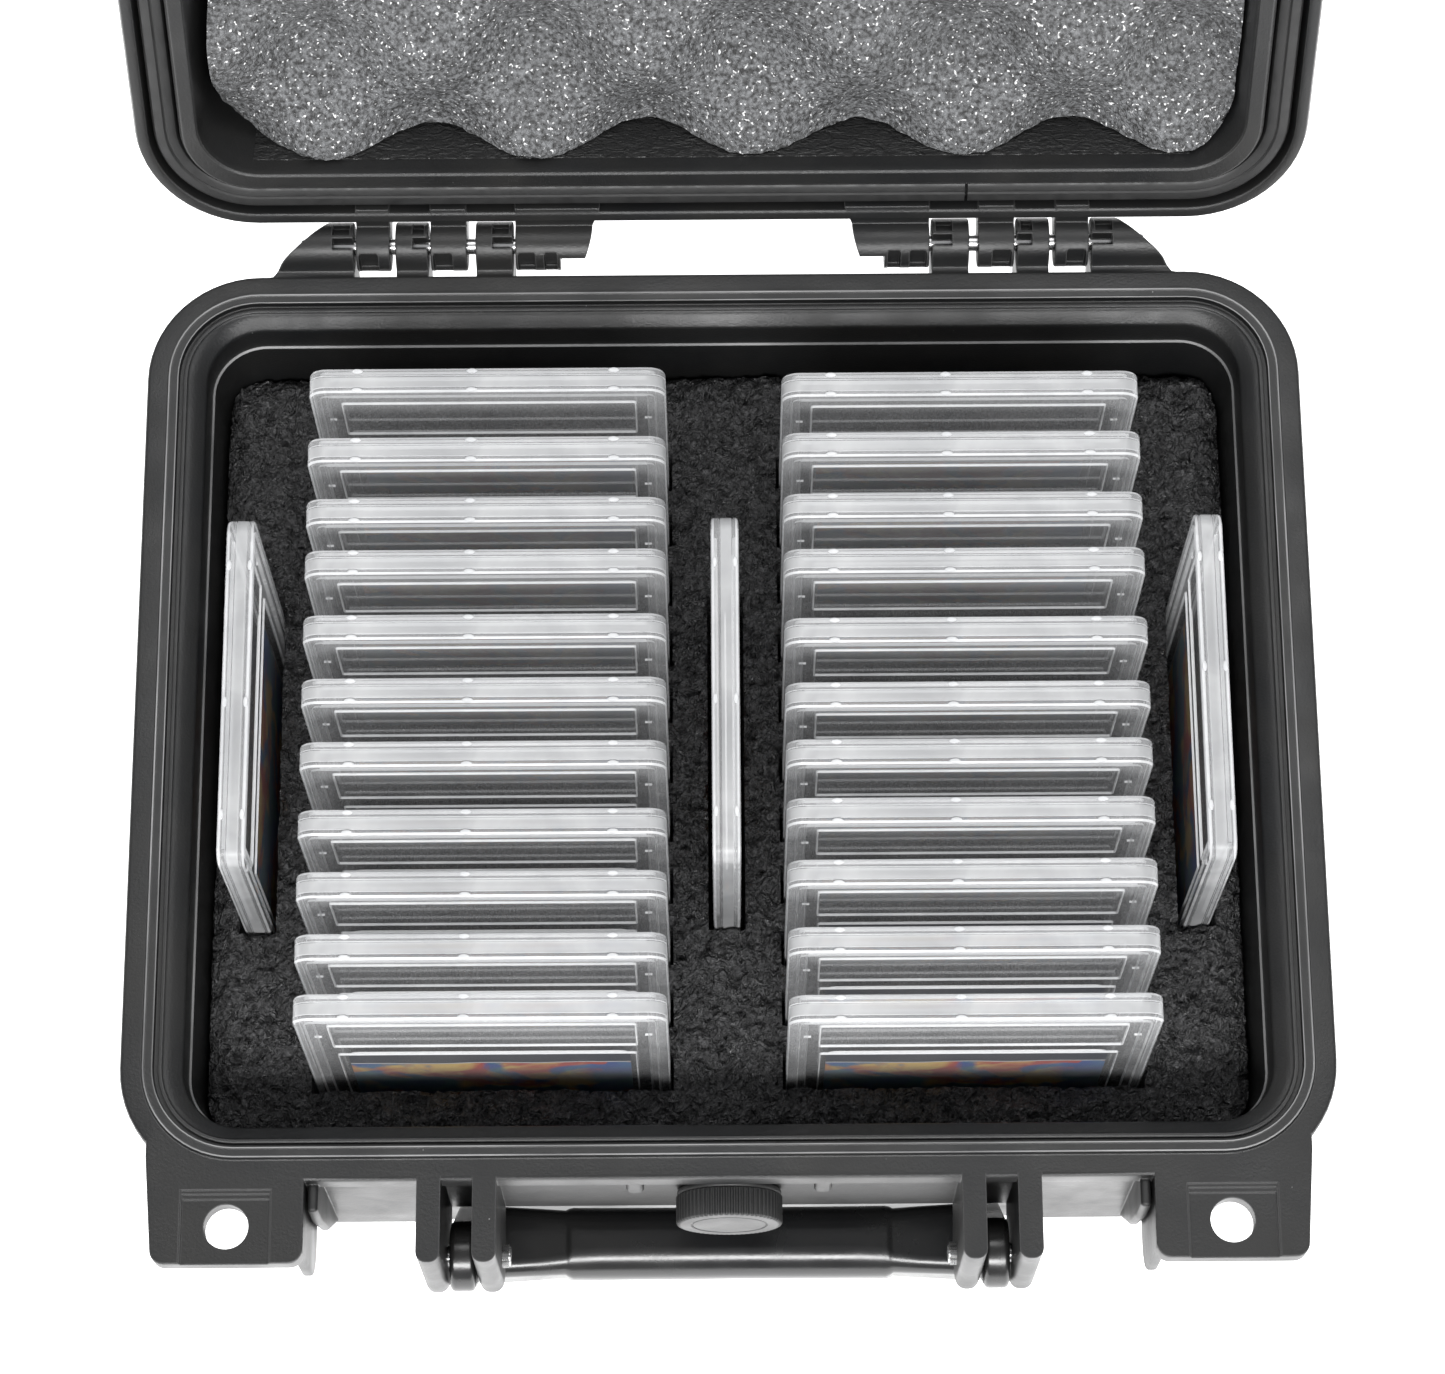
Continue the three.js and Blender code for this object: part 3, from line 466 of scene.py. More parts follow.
def face_outwards(piece):
    bm = bmesh.new()
    bm.from_mesh(piece.data)
    bmesh.ops.remove_doubles(bm, verts=bm.verts, dist=1e-6)
    bmesh.ops.recalc_face_normals(bm, faces=bm.faces)
    if bm.calc_volume(signed=True) < 0:
        bmesh.ops.reverse_faces(bm, faces=bm.faces)
    bm.to_mesh(piece.data)
    bm.free()


def section(profile, steps=CORNER_STEPS):
    """Rings for a profile of (outline, inset, z) carried round the case."""
    return [[(x, y, z) for x, y in outline_points(o, inset, steps)] for o, inset, z in profile]


def rim_profile(outline, *pairs):
    """Points of a profile, from pairs of an inset and a height over the parting plane."""
    return [(outline, inset, RIM_Z + height) for inset, height in pairs]


def prism(points, span, along="Z", bevel=0.4, segments=2):
    """An outline carried along an axis, its sharp edges rounded. The outline is drawn in (x, y)
    for Z, in (x, z) for Y and in (y, z) for X."""
    low, high = sorted(span)
    count = len(points)
    place = {
        "X": lambda u, v, w: (w, u, v),
        "Y": lambda u, v, w: (u, w, v),
        "Z": lambda u, v, w: (u, v, w),
    }[along]
    vertices = [place(u, v, w) for w in (low, high) for u, v in points]
    faces = [tuple(range(count)), tuple(range(count, 2 * count))]
    for i in range(count):
        j = (i + 1) % count
        faces.append((i, j, count + j, count + i))
    made = object_from("prism", vertices, faces)
    face_outwards(made)
    if bevel:
        round_edges(made, bevel, segments)
    return made


def round_edges(piece, bevel, segments=2, angle=math.radians(32)):
    bm = bmesh.new()
    bm.from_mesh(piece.data)
    edges = [e for e in bm.edges if e.calc_face_angle(0) > angle]
    size = {"offset": bevel * MM, "segments": segments, "profile": 0.5}
    bmesh.ops.bevel(bm, geom=edges, affect="EDGES", clamp_overlap=True, **size)
    bm.to_mesh(piece.data)
    bm.free()


def block(x, y, z, bevel=0.0):
    corners = [(x[0], y[0]), (x[1], y[0]), (x[1], y[1]), (x[0], y[1])]
    return prism(corners, z, bevel=bevel)


def rod(radius, span, along, centre, sides=48, bevel=0.0, segments=2):
    """A round bar along X, Y or Z through centre, which gives its other two coordinates."""
    if along != "Y":
        return prism(circle(radius, sides, centre), span, along, bevel, segments)
    made = prism(circle(radius, sides), span, "Z", bevel, segments)
    turn = Matrix.Rotation(math.radians(-90), 4, "X")
    made.data.transform(Matrix.Translation((centre[0] * MM, 0, centre[1] * MM)) @ turn)
    return made


def combined(target, tools, operation):
    """Joins or cuts target by closed solids, which are used up."""
    for tool in tools:
        modifier = target.modifiers.new("join", "BOOLEAN")
        modifier.operation = operation
        modifier.solver = "MANIFOLD"
        modifier.object = tool
    graph = bpy.context.evaluated_depsgraph_get()
    made = bpy.data.meshes.new_from_object(target.evaluated_get(graph))
    target.modifiers.clear()
    target.data = made
    for tool in tools:
        bpy.data.objects.remove(tool)
    if not len(made.vertices):
        raise ValueError(f"{target.name} was lost in a boolean")
    return target


def joined(target, tools):
    return combined(target, tools, "UNION")


def cut(target, tools):
    return combined(target, tools, "DIFFERENCE")


def merged(name, pieces):
    """One object of several separate closed solids."""
    bm = bmesh.new()
    for piece in pieces:
        bm.from_mesh(piece.data)
        bpy.data.objects.remove(piece)
    mesh = bpy.data.meshes.new(name)
    bm.to_mesh(mesh)
    bm.free()
    return linked(name, mesh)


def smoothed(piece, angle=32):
    """Smooth shading that leaves large flat faces flat."""
    piece.data.shade_smooth()
    piece.data.set_sharp_from_angle(angle=math.radians(angle))
    modifier = piece.modifiers.new("flat_faces", "WEIGHTED_NORMAL")
    modifier.keep_sharp = True
    modifier.weight = 100
    graph = bpy.context.evaluated_depsgraph_get()
    piece.data = bpy.data.meshes.new_from_object(piece.evaluated_get(graph))
    piece.modifiers.clear()
    return piece


def finished(piece, name, body, material, replaces=(), angle=32):
    """Names a piece, paints it, and puts it on its body in place of its CAD nodes."""
    piece.name = name
    piece.data.name = name
    piece.data.materials.clear()
    piece.data.materials.append(material)
    smoothed(piece, angle)
    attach(piece, body)
    if replaces:
        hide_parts(*replaces)
    return piece


def mirrored(side, near_far):
    near, far = near_far
    return (near, far) if side > 0 else (-far, -near)


# The lid as it rests, from how it lies when shut.
OPEN_LID = (
    Matrix.Translation(Vector((0, HINGE_Y, RIM_Z)) * MM)
    @ Matrix.Rotation(-LID_OPEN, 4, "X")
    @ Matrix.Translation(Vector((0, -HINGE_Y, -RIM_Z)) * MM)
)


def opened(piece):
    piece.data.transform(OPEN_LID)
    return piece


def drawn_open(piece):
    """Turns a tool that is drawn where the open lid rests to where the shut lid has it."""
    piece.data.transform(OPEN_LID.inverted())
    return piece


# ---------------------------------------------------------------- base shell


def base_tub():
    foot = [(RIM, i, z) for i, z in ((21.0, 0.0), (17.5, 0.0), (16.4, 0.5), (15.6, 1.5), (15.2, 3.0))]
    outside = rim_profile(
        RIM,
        (10.2, -9.0), (9.7, -7.6), (8.7, -7.0), (0.9, -7.0), (0.3, -6.8), (0.0, -6.2), (0.0, -0.9),
        (0.25, -0.3), (0.9, 0.0),
    )
    ridges = rim_profile(
        RIM,
        (4.8, 0.0), (5.0, 0.25), (5.15, 1.1), (5.25, 1.35), (5.5, 1.35), (5.65, 1.05), (7.2, 1.0),
        (7.3, 1.3), (7.5, 1.3), (7.6, 0.9), (7.7, -0.7), (8.5, -0.7), (8.6, 0.0), (8.8, 0.2),
        (9.4, 0.2), (9.6, -0.2), (9.9, -0.4),
    )
    inside = rim_profile(
        CAVITY,
        (-2.6, -0.6), (-0.5, -2.2), (-0.1, -2.7), (0.0, -3.5), (0.3, -10.6), (0.75, -10.9),
        (0.9, -11.8),
    )
    bottom = [(CAVITY, CAVITY_DRAFT + extra, z) for extra, z in ((0.0, 9.0), (0.6, 7.6), (2.0, 7.0))]
    return loft("base_tub", section(foot + outside + ridges + inside + bottom))


def base_core():
    """What lies inside the middle of the tub's wall: nothing fixed to the outside reaches into it."""
    levels = [(17.6, -9.0), (17.6, 3.0), (12.6, RIM_Z - 9), (12.6, RIM_Z - 5), (3.2, RIM_Z - 4)]
    levels.append((3.2, RIM_Z + 40))
    return loft("base_core", section([(RIM, inset, z) for inset, z in levels]))


def lid_core():
    levels = [(3.4, RIM_Z - 40), (3.4, RIM_Z + 7.4), (9.8, RIM_Z + 10.2), (14.4, RIM_Z + 41)]
    levels.append((17.0, RIM_Z + 42.8))
    return loft("lid_core", section([(RIM, inset, z) for inset, z in levels]))


def tab_plate(side, low, high):
    """A padlock tab, a little wider where it meets the rim."""
    inner, outer = TAB_X
    back, front, corner = -96.0, TAB_FRONT, 3.2
    points = [
        (inner, back), (inner, front + corner),
        *arc((inner + corner, front + corner), corner, 2, 3, 6)[1:],
        *arc((outer - 0.4 - corner, front + corner), corner, 3, 4, 6), (outer + 1.2, -103.0),
        (outer + 1.2, back),
    ]
    return prism([(side * x, y) for x, y in points], (low, high), bevel=0.5)


def tab_rib(side, x, front, high, low, corner=8.0):
    """The upright rib along a tab's edge: high is the end that joins the tab."""
    sign = 1 if low < high else -1
    centre = (front + corner, low + sign * corner)
    curve = arc(centre, corner, 2, 3) if sign > 0 else arc(centre, corner, 2, 1)
    points = [(-100.0, high), (front, high), *curve, (-100.0, low)]
    return prism(points, mirrored(side, x), "X", bevel=0.7, segments=3)


def front_skirt():
    back = -95.0
    panels = []
    spans = [((-EAR_CENTRES[1], EAR_CENTRES[1]), 40.0)]
    spans += [(mirrored(side, (EAR_CENTRES[1], TAB_X[0] + 1)), 57.0) for _, side in SIDES]
    for x, drop in spans:
        low = RIM_Z - drop
        points = [(back, RIM_Z - 3), (SKIRT_FRONT, RIM_Z - 3), (SKIRT_FRONT, low), (back, low - 5)]
        panels.append(prism(points, x, "X", bevel=0.5))
    # Two small posts stand beside the vent.
    post = [(-2.0, RIM_Z - 3), *arc((0, RIM_Z - 14), 2.0, 2, 4, 10), (2.0, RIM_Z - 3)]
    for x in (-21.0, 21.0):
        panels.append(prism([(x + u, v) for u, v in post], (-108.8, -95.0), "Y", bevel=0.9, segments=3))
    return panels


def latch_fin(side):
    points = [
        (-100.0, RIM_Z - 3), (-115.0, RIM_Z - 3), (-115.2, RIM_Z - 15), (-113.0, RIM_Z - 34),
        (SKIRT_FRONT - 0.4, RIM_Z - 54.5), (-100.0, RIM_Z - 55.5),
    ]
    return prism(points, mirrored(side, (TAB_X[0] - 2.8, TAB_X[0] - 0.5)), "X", bevel=0.8, segments=3)


def handle_ear(x):
    """An upright ear with a rounded front edge and a round lower end."""
    centre = (-116.0, RIM_Z - 35.5)
    radius = 11.0
    side = [(-100.0, RIM_Z), (-127.0, RIM_Z), *arc(centre, radius, 2, 3.9, 20), (-100.0, RIM_Z - 36)]
    half = EAR_THICKNESS / 2
    body = prism(side, (x - half, x + half), "X", bevel=0.0)
    return rounded_front(body, half - 0.35)


def rounded_front(body, radius):
    """Rounds the long edges of a plate that stands across X, as far as its front half."""
    front_half, root, upper_face = -107.0 * MM, -100.0 * MM, (RIM_Z - 0.1) * MM
    bm = bmesh.new()
    bm.from_mesh(body.data)
    edges = []
    for edge in bm.edges:
        a, b = (v.co for v in edge.verts)
        level = abs(a.x - b.x) < 1e-6
        frontal = min(a.y, b.y) < front_half and max(a.y, b.y) < root
        if level and frontal and min(a.z, b.z) <= upper_face:
            edges.append(edge)
    bmesh.ops.bevel(bm, geom=edges, offset=radius * MM, segments=5, profile=0.5, affect="EDGES")
    bm.to_mesh(body.data)
    bm.free()
    return body


def knuckle(x, web):
    barrel = rod(KNUCKLE_RADIUS, x, "X", (HINGE_Y, RIM_Z), sides=40, bevel=0.4)
    return [barrel, prism(web, x, "X", bevel=0.35)]


def plan_cut(points):
    """A tool that takes away what lies over an outline, seen from above."""
    return prism(points, (RIM_Z - 60, RIM_Z + 60), bevel=0)


def base_hinge(side):
    web = [
        (103.0, RIM_Z - 0.3), (110.4, RIM_Z - 0.3), (HINGE_Y - 5.2, RIM_Z + 2.6),
        (HINGE_Y, RIM_Z + 1), (HINGE_Y + 4.9, RIM_Z - 3.2), (HINGE_Y + 3.4, RIM_Z - 9),
        (99.0, RIM_Z - 32),
    ]
    pieces = []
    for x in BASE_KNUCKLES:
        pieces += knuckle(mirrored(side, x), web)
    hinge = joined(pieces[0], pieces[1:])
    # The outer knuckle's end is a shoulder that curves in towards the pin.
    shoulder = [(112.0, 99.0), (108.4, 106.0), (108.0, 108.9), (106.6, 109.1), (105.6, 110.4)]
    shoulder += [(103.6, 112.0), (101.0, 114.0), (98.0, 116.6), (94.9, 119.6), (92.5, 122.6)]
    shoulder += [(92.0, 130.0), (130.0, 130.0), (130.0, 99.0)]
    tools = [plan_cut([(side * x, y) for x, y in shoulder])]
    # Each knuckle has a pocket behind the pin, and a slot in front of it that leaves it bare.
    for (near, _), width in zip(BASE_KNUCKLES, (4.8, 3.6, 5.0)):
        pocket = mirrored(side, (near + 0.9, near + width))
        tools.append(block(pocket, (HINGE_Y + 0.5, HINGE_Y + 3.6), (RIM_Z + 2.4, RIM_Z + 9)))
        slot = mirrored(side, (near - 0.1, near + width))
        tools.append(block(slot, (HINGE_Y - 2.9, HINGE_Y - 0.3), (RIM_Z + 0.2, RIM_Z + 9)))
    return cut(hinge, tools)


def stiffeners():
    """Shallow upright ribs on the sides and back of the tub."""
    ribs = []
    for _, side in SIDES:
        x = (119.5, 125.7)
        low, high = 12.0, RIM_Z - 3
        points = [(x[0], low), (x[1], low), (x[1], high), (x[0] + 4, high)]
        for y in (-58, 0, 58):
            ribs.append(prism([(side * u, v) for u, v in points], (y - 2, y + 2), "Y", bevel=0.7))
        points = [(92.0, low), (99.4, low), (99.4, high), (97.0, high)]
        ribs.append(prism(points, mirrored(side, (13, 17)), "X", bevel=0.7))
    return ribs


def base_shell():
    parts = front_skirt() + stiffeners()
    holes = []
    for _, side in SIDES:
        parts.append(tab_plate(side, RIM_Z - 6, RIM_Z))
        parts.append(tab_rib(side, (TAB_X[0], TAB_X[0] + 2.5), -125.0, RIM_Z - 1, RIM_Z - 33))
        parts.append(tab_rib(side, (TAB_X[1] - 2.5, TAB_X[1]), -118.0, RIM_Z - 1, RIM_Z - 20))
        parts.append(latch_fin(side))
        parts.append(base_hinge(side))
        parts += [handle_ear(side * x) for x in EAR_CENTRES]
        holes += tab_holes(side, RIM_Z)
        holes.append(rod(HANDLE_BORE, mirrored(side, (48, 70)), "X", HANDLE_PIVOT, sides=24))
        holes.append(rod(HINGE_BORE, mirrored(side, (28, 110)), "X", (HINGE_Y, RIM_Z), sides=24))
    for sx in (-57.0, 57.0):
        for sy in (-44.0, 44.0):
            outline = Outline(51.0, 38.0, 8.0, 0.0)
            points = [(x + sx, y + sy) for x, y in outline_points(outline, steps=6)]
            holes.append(prism(points, (-5.0, 2.5), bevel=0.8))
    holes.append(rod(5.4, (-112, -90), "Y", (0, VALVE_Z), sides=32))
    holes.append(rod(9.0, (-98.8, -90), "Y", (0, VALVE_Z), sides=32))
    fittings = cut(joined(parts[0], parts[1:]), [base_core()])
    return cut(joined(base_tub(), [fittings]), holes)


def tab_holes(side, face):
    """The padlock hole and the stepped recess round it, cut from a tab's upper face."""
    x, y, radius = PADLOCK_HOLE
    tools = [rod(radius, (face - 12, face + 12), "Z", (side * x, y), sides=64)]
    for grow, back, depth in ((0.0, -112.6, 1.2), (0.0, -111.5, 0.8), (0.35, -110.6, 0.4)):
        across = mirrored(side, (101.2 - grow, 120.6 + grow))
        tools.append(block(across, (-130.0, back), (face - depth, face + 3)))
    return tools


# ---------------------------------------------------------------- lid


def lid_bowl():
    inside = rim_profile(
        LID_CAVITY,
        (6.0, 41), (4.2, 40.9), (3.2, 40.0), (2.9, 38.5), (0.25, 2.2), (0.0, 1.2), (-0.15, 0.6),
        (-0.6, 0.3),
    )
    channel = rim_profile(
        RIM,
        (10.4, 0.3), (10.1, 0.5), (9.95, 1.2), (9.6, 1.5), (9.3, 7.5), (2.6, 7.5), (2.4, 1.4),
        (2.2, 0.6), (1.7, 0.3),
    )
    outside = rim_profile(
        RIM,
        (0.1, 0.3), (-0.3, 0.5), (-0.9, 2.0), (-0.9, 6.4), (-0.7, 7.0), (-0.1, 7.3), (2.9, 7.3),
        (3.6, 7.6), (4.0, 8.3), (4.7, 9.8), (5.5, 10.4), (7.1, 10.8), (7.9, 11.8), (12.8, 41.2),
        (13.5, 43.0), (14.7, 44.1), (16.5, 44.5),
    )
    return loft("lid_bowl", section(inside + channel + outside))


def lid_top_frame():
    """A raised frame with two cross bars, on which another case can stand."""
    outer = Outline(RIM.half_x - 24, RIM.half_y - 24, 16.0, 0.0)
    inner = Outline(outer.half_x - 11, outer.half_y - 11, 8.0, 0.0)
    low, high = RIM_Z + 43.5, RIM_Z + 53
    rings = [
        (outer, 0.0, low), (outer, 0.0, high - 1.4), (outer, 0.4, high - 0.4), (outer, 1.4, high),
        (inner, -1.2, high), (inner, -0.3, high - 0.3), (inner, 0.0, high - 1.2), (inner, 0.0, low),
    ]
    ring = loft("lid_frame", section(rings), closed=True)
    bars = [
        block((x - 5, x + 5), (-outer.half_y + 5, outer.half_y - 5), (low, high - 1.5), 0.8)
        for x in (-34, 34)
    ]
    return [ring, *bars]


def lid_hinge(side):
    web = [
        (104.0, RIM_Z + 0.4), (HINGE_Y - 3, RIM_Z + 0.4), (HINGE_Y, RIM_Z + 1),
        (HINGE_Y + 1.5, RIM_Z + 5.6), (100.0, RIM_Z + 26),
    ]
    pieces = []
    for x in LID_KNUCKLES:
        pieces += knuckle(mirrored(side, x), web)
    hinge = joined(pieces[0], pieces[1:])
    slant = [(26.0, 95.0), (28.2, 104.0), (30.6, 110.5), (35.2, 123.5), (10.0, 123.5), (10.0, 95.0)]
    tools = [plan_cut([(side * x, y) for x, y in slant])]
    # Pockets in the foot of each knuckle, which faces forward while the lid is open.
    (_, wide_far), *narrow = LID_KNUCKLES
    pockets = [(far - 5.2, far - 0.6) for _, far in narrow]
    pockets += [(wide_far - 4.7, wide_far - 0.6), (39.1, 42.2)]
    for x in pockets:
        y, z = (HINGE_Y - 9, HINGE_Y - 3.3), (RIM_Z - 3.4, RIM_Z + 4.3)
        tools.append(drawn_open(block(mirrored(side, x), y, z, 0.5)))
    # The wide knuckle is only a plate beyond its foot.
    beyond = block(mirrored(side, (20.0, 38.4)), (HINGE_Y - 12, HINGE_Y + 9), (RIM_Z - 20, RIM_Z + 3.2))
    tools.append(drawn_open(beyond))
    return cut(hinge, tools)


def latch_lugs(side):
    pivot_y, pivot_z = LATCH_PIVOT
    points = [
        (-100.0, RIM_Z + 1), (-100.0, pivot_z + 10), (pivot_y, pivot_z + 4),
        *arc(LATCH_PIVOT, 4.0, 1, 2, 8), (-112.0, RIM_Z + 1),
    ]
    return [prism(points, mirrored(side, x), "X", bevel=0.4) for x in LATCH_LUGS]


def lid_shell():
    parts = []
    holes = []
    for _, side in SIDES:
        parts.append(tab_plate(side, RIM_Z + 0.3, RIM_Z + 6.3))
        for x in ((TAB_X[0], TAB_X[0] + 2.5), (TAB_X[1] - 2.5, TAB_X[1])):
            parts.append(tab_rib(side, x, -125.0, RIM_Z + 1, RIM_Z + 22))
        parts += latch_lugs(side)
        parts.append(lid_hinge(side))
        holes += tab_holes(side, RIM_Z + 6.3)
        holes.append(rod(HINGE_BORE, mirrored(side, (28, 90)), "X", (HINGE_Y, RIM_Z), sides=24))
        holes.append(rod(LATCH_BORE, mirrored(side, (65, 99)), "X", LATCH_PIVOT, sides=24))
    fittings = cut(joined(parts[0], parts[1:]), [lid_core()])
    return opened(cut(joined(lid_bowl(), [fittings, *lid_top_frame()]), holes))


def lid_gasket():
    """A soft rubber seal that fills the lid's channel, with a butt joint near the hinges."""
    rings = rim_profile(
        RIM,
        (3.3, 7.3), (3.3, 3.4), (3.45, 2.4), (3.9, 1.9), (4.6, 1.7), (5.9, 1.75), (6.3, 2.1),
        (6.7, 1.8), (8.0, 1.9), (8.6, 2.3), (8.85, 3.2), (8.85, 7.3),
    )
    seal = loft("seal", section(rings), closed=True)
    joint = block((57.2, 57.9), (95.0, 108.0), (RIM_Z + 1, RIM_Z + 4.5))
    return opened(cut(seal, [joint]))


def lid_wall_texture():
    """A patch of coarse moulded texture on the lid's hinge-side wall."""
    points = [
        (94.7, RIM_Z + 5.3), (94.2, RIM_Z + 5.3), (92.2, RIM_Z + 33.0), (92.9, RIM_Z + 33.0),
    ]
    return opened(prism(points, (-110.0, 110.0), "X", bevel=0))


# ---------------------------------------------------------------- foam


def crumple(x, y, depth):
    """Height of the torn, crinkled face of closed-cell foam."""
    p = Vector((x * 0.21, y * 0.21, 3.7))
    coarse = noise.noise(p)
    swirl = Vector((noise.noise(p * 1.9), noise.noise(p * 1.9 + Vector((9, 4, 2))), 0)) * 0.9
    fine = abs(noise.noise(p * 2.1 + swirl))
    finer = abs(noise.noise(p * 4.6 + swirl * 2))
    return depth * (0.5 * coarse - 1.3 * fine - 0.6 * finer + 0.35)


def grid_lines(low, high, breaks, step):
    """Positions from low to high that include every break and are at most about step apart."""
    stops = sorted({low, high, *(round(b, 4) for b in breaks if low < b < high)})
    lines = [stops[0]]
    for a, b in zip(stops, stops[1:]):
        parts = max(1, round((b - a) / step))
        lines += [a + (b - a) * (i + 1) / parts for i in range(parts)]
    return lines


def slotted_block(xs, ys, bottom, top, is_hole, height):
    """A slab of foam on a grid of lines: cells where is_hole are cut right through, and height
    gives the top face's rise at each point."""
    cols, rows = len(xs), len(ys)
    vertices = [(x, y, top + height(x, y)) for y in ys for x in xs]
    vertices += [(x, y, bottom) for y in ys for x in xs]
    under = cols * rows

    def index(i, j):
        return j * cols + i

    solid = [
        [not is_hole((xs[i] + xs[i + 1]) / 2, (ys[j] + ys[j + 1]) / 2) for i in range(cols - 1)]
        for j in range(rows - 1)
    ]

    def filled(i, j):
        return 0 <= i < cols - 1 and 0 <= j < rows - 1 and solid[j][i]

    faces = []
    for j in range(rows - 1):
        for i in range(cols - 1):
            if not solid[j][i]:
                continue
            a, b, c, d = index(i, j), index(i + 1, j), index(i + 1, j + 1), index(i, j + 1)
            faces += [(a, b, c, d), (under + d, under + c, under + b, under + a)]
            edges = ((a, b, i, j - 1), (b, c, i + 1, j), (c, d, i, j + 1), (d, a, i - 1, j))
            for p, q, ni, nj in edges:
                if not filled(ni, nj):
                    faces.append((q, p, under + p, under + q))
    bm = bmesh.new()
    made = [bm.verts.new(Vector(v) * MM) for v in vertices]
    for face in faces:
        bm.faces.new([made[i] for i in face])
    bmesh.ops.delete(bm, geom=[v for v in bm.verts if not v.link_faces], context="VERTS")
    mesh = bpy.data.meshes.new("slotted_block")
    bm.to_mesh(mesh)
    bm.free()
    return linked("slotted_block", mesh)


def slab_names():
    return [n for n in frame["nodes"] if n.startswith("slab_")]


def slab_place(name):
    """Centre in mm, lean towards the back, and whether the slab is turned to face sideways."""
    low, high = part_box(name)
    joint = next(j for j in frame["joints"] if j["child"] == name)
    lean = math.atan2(joint["axis"][1], joint["axis"][2])
    turned = high.y - low.y > high.x - low.x
    return (low + high) / 2 / MM, lean, turned


def slot_boxes():
    boxes = []
    middle = (PAD_TOP_Z + FOAM_TOP_Z) / 2
    for name in slab_names():
        centre, lean, turned = slab_place(name)
        y = centre.y - (centre.z - middle) * math.tan(lean)
        half = (SLOT_HALF_WIDTH, SLOT_HALF_THICKNESS)
        half = half[::-1] if turned else half
        boxes.append((centre.x - half[0], centre.x + half[0], y - half[1], y + half[1]))
    return boxes


def base_foam():
    boxes = slot_boxes()
    half_x, half_y = CAVITY.half_x + 1, CAVITY.half_y + 1
    step = 1.0
    xs = grid_lines(-half_x, half_x, [b for box in boxes for b in box[:2]], step)
    ys = grid_lines(-half_y, half_y, [b for box in boxes for b in box[2:]], step)

    def is_hole(x, y):
        return any(x0 < x < x1 and y0 < y < y1 for x0, x1, y0, y1 in boxes)

    def height(x, y):
        edge = min(half_x - 4.0 - abs(x), half_y - 4.0 - abs(y))
        roll = 0.0 if edge > 5 else -3.0 * ((5 - edge) / 5) ** 2
        return crumple(x, y, 3.2) + max(roll, -6)

    foam = slotted_block(xs, ys, PAD_TOP_Z + 0.3, FOAM_TOP_Z, is_hole, height)
    top = FOAM_TOP_Z + 4
    draft = CAVITY_DRAFT / (RIM_Z - 3 - 7)
    low_inset = draft * (RIM_Z - 3 - PAD_TOP_Z) + 0.7
    high_inset = draft * (RIM_Z - 3 - top) + 1.3
    trim = loft("trim", section([(CAVITY, low_inset, PAD_TOP_Z), (CAVITY, high_inset, top)]))
    return combined(foam, [trim], "INTERSECT")


def base_foam_pad():
    inset = CAVITY_DRAFT + 0.5
    levels = [(0.0, 7.4), (-0.1, 9.0), (-0.1, 16.4), (0.4, 17.2), (1.2, 17.4)]
    return loft("pad", section([(CAVITY, inset + extra, z) for extra, z in levels]))


def lid_foam():
    """Egg-crate foam: peaks and hollows both ways, worn by fine pores, its sides bulging a little."""
    peak, top = 4.6, 40.7
    half_x, half_y = LID_FOAM.half_x, LID_FOAM.half_y
    step = 1.5
    xs = grid_lines(-half_x - 2, half_x + 2, [], step)
    ys = grid_lines(-half_y - 2, half_y + 2, [], step)
    turn = math.tau / WAVE_PITCH

    def wave(x, y):
        across = math.cos((x + LID_FOAM_X - WAVE_SHIFT) * turn) * math.cos((y - half_y) * turn)
        pores = noise.noise(Vector((x * 0.55, y * 0.55, 1.3)))
        lumps = noise.noise(Vector((x * 0.06, y * 0.06, 8.1)))
        return 6.6 * across + 0.9 * pores + 1.1 * lumps

    # Drawn upside down, with the waves on top, and then turned over.
    foam = slotted_block(xs, ys, -(RIM_Z + top), -(RIM_Z + peak + 6.5), lambda x, y: False, wave)
    levels = [(1.6, top + 1), (0.3, top - 6), (-0.2, 20.0), (-1.6, 6.0), (-1.6, -5.0)]
    rings = section([(LID_FOAM, i, -(RIM_Z + z)) for i, z in levels])
    foam = combined(foam, [loft("trim", rings)], "INTERSECT")
    foam.data.transform(Matrix.Translation((LID_FOAM_X * MM, 0, 0)) @ Matrix.Scale(-1, 4, (0, 0, 1)))
    face_outwards(foam)
    return opened(foam)


# ---------------------------------------------------------------- handle, latches, valve, pins


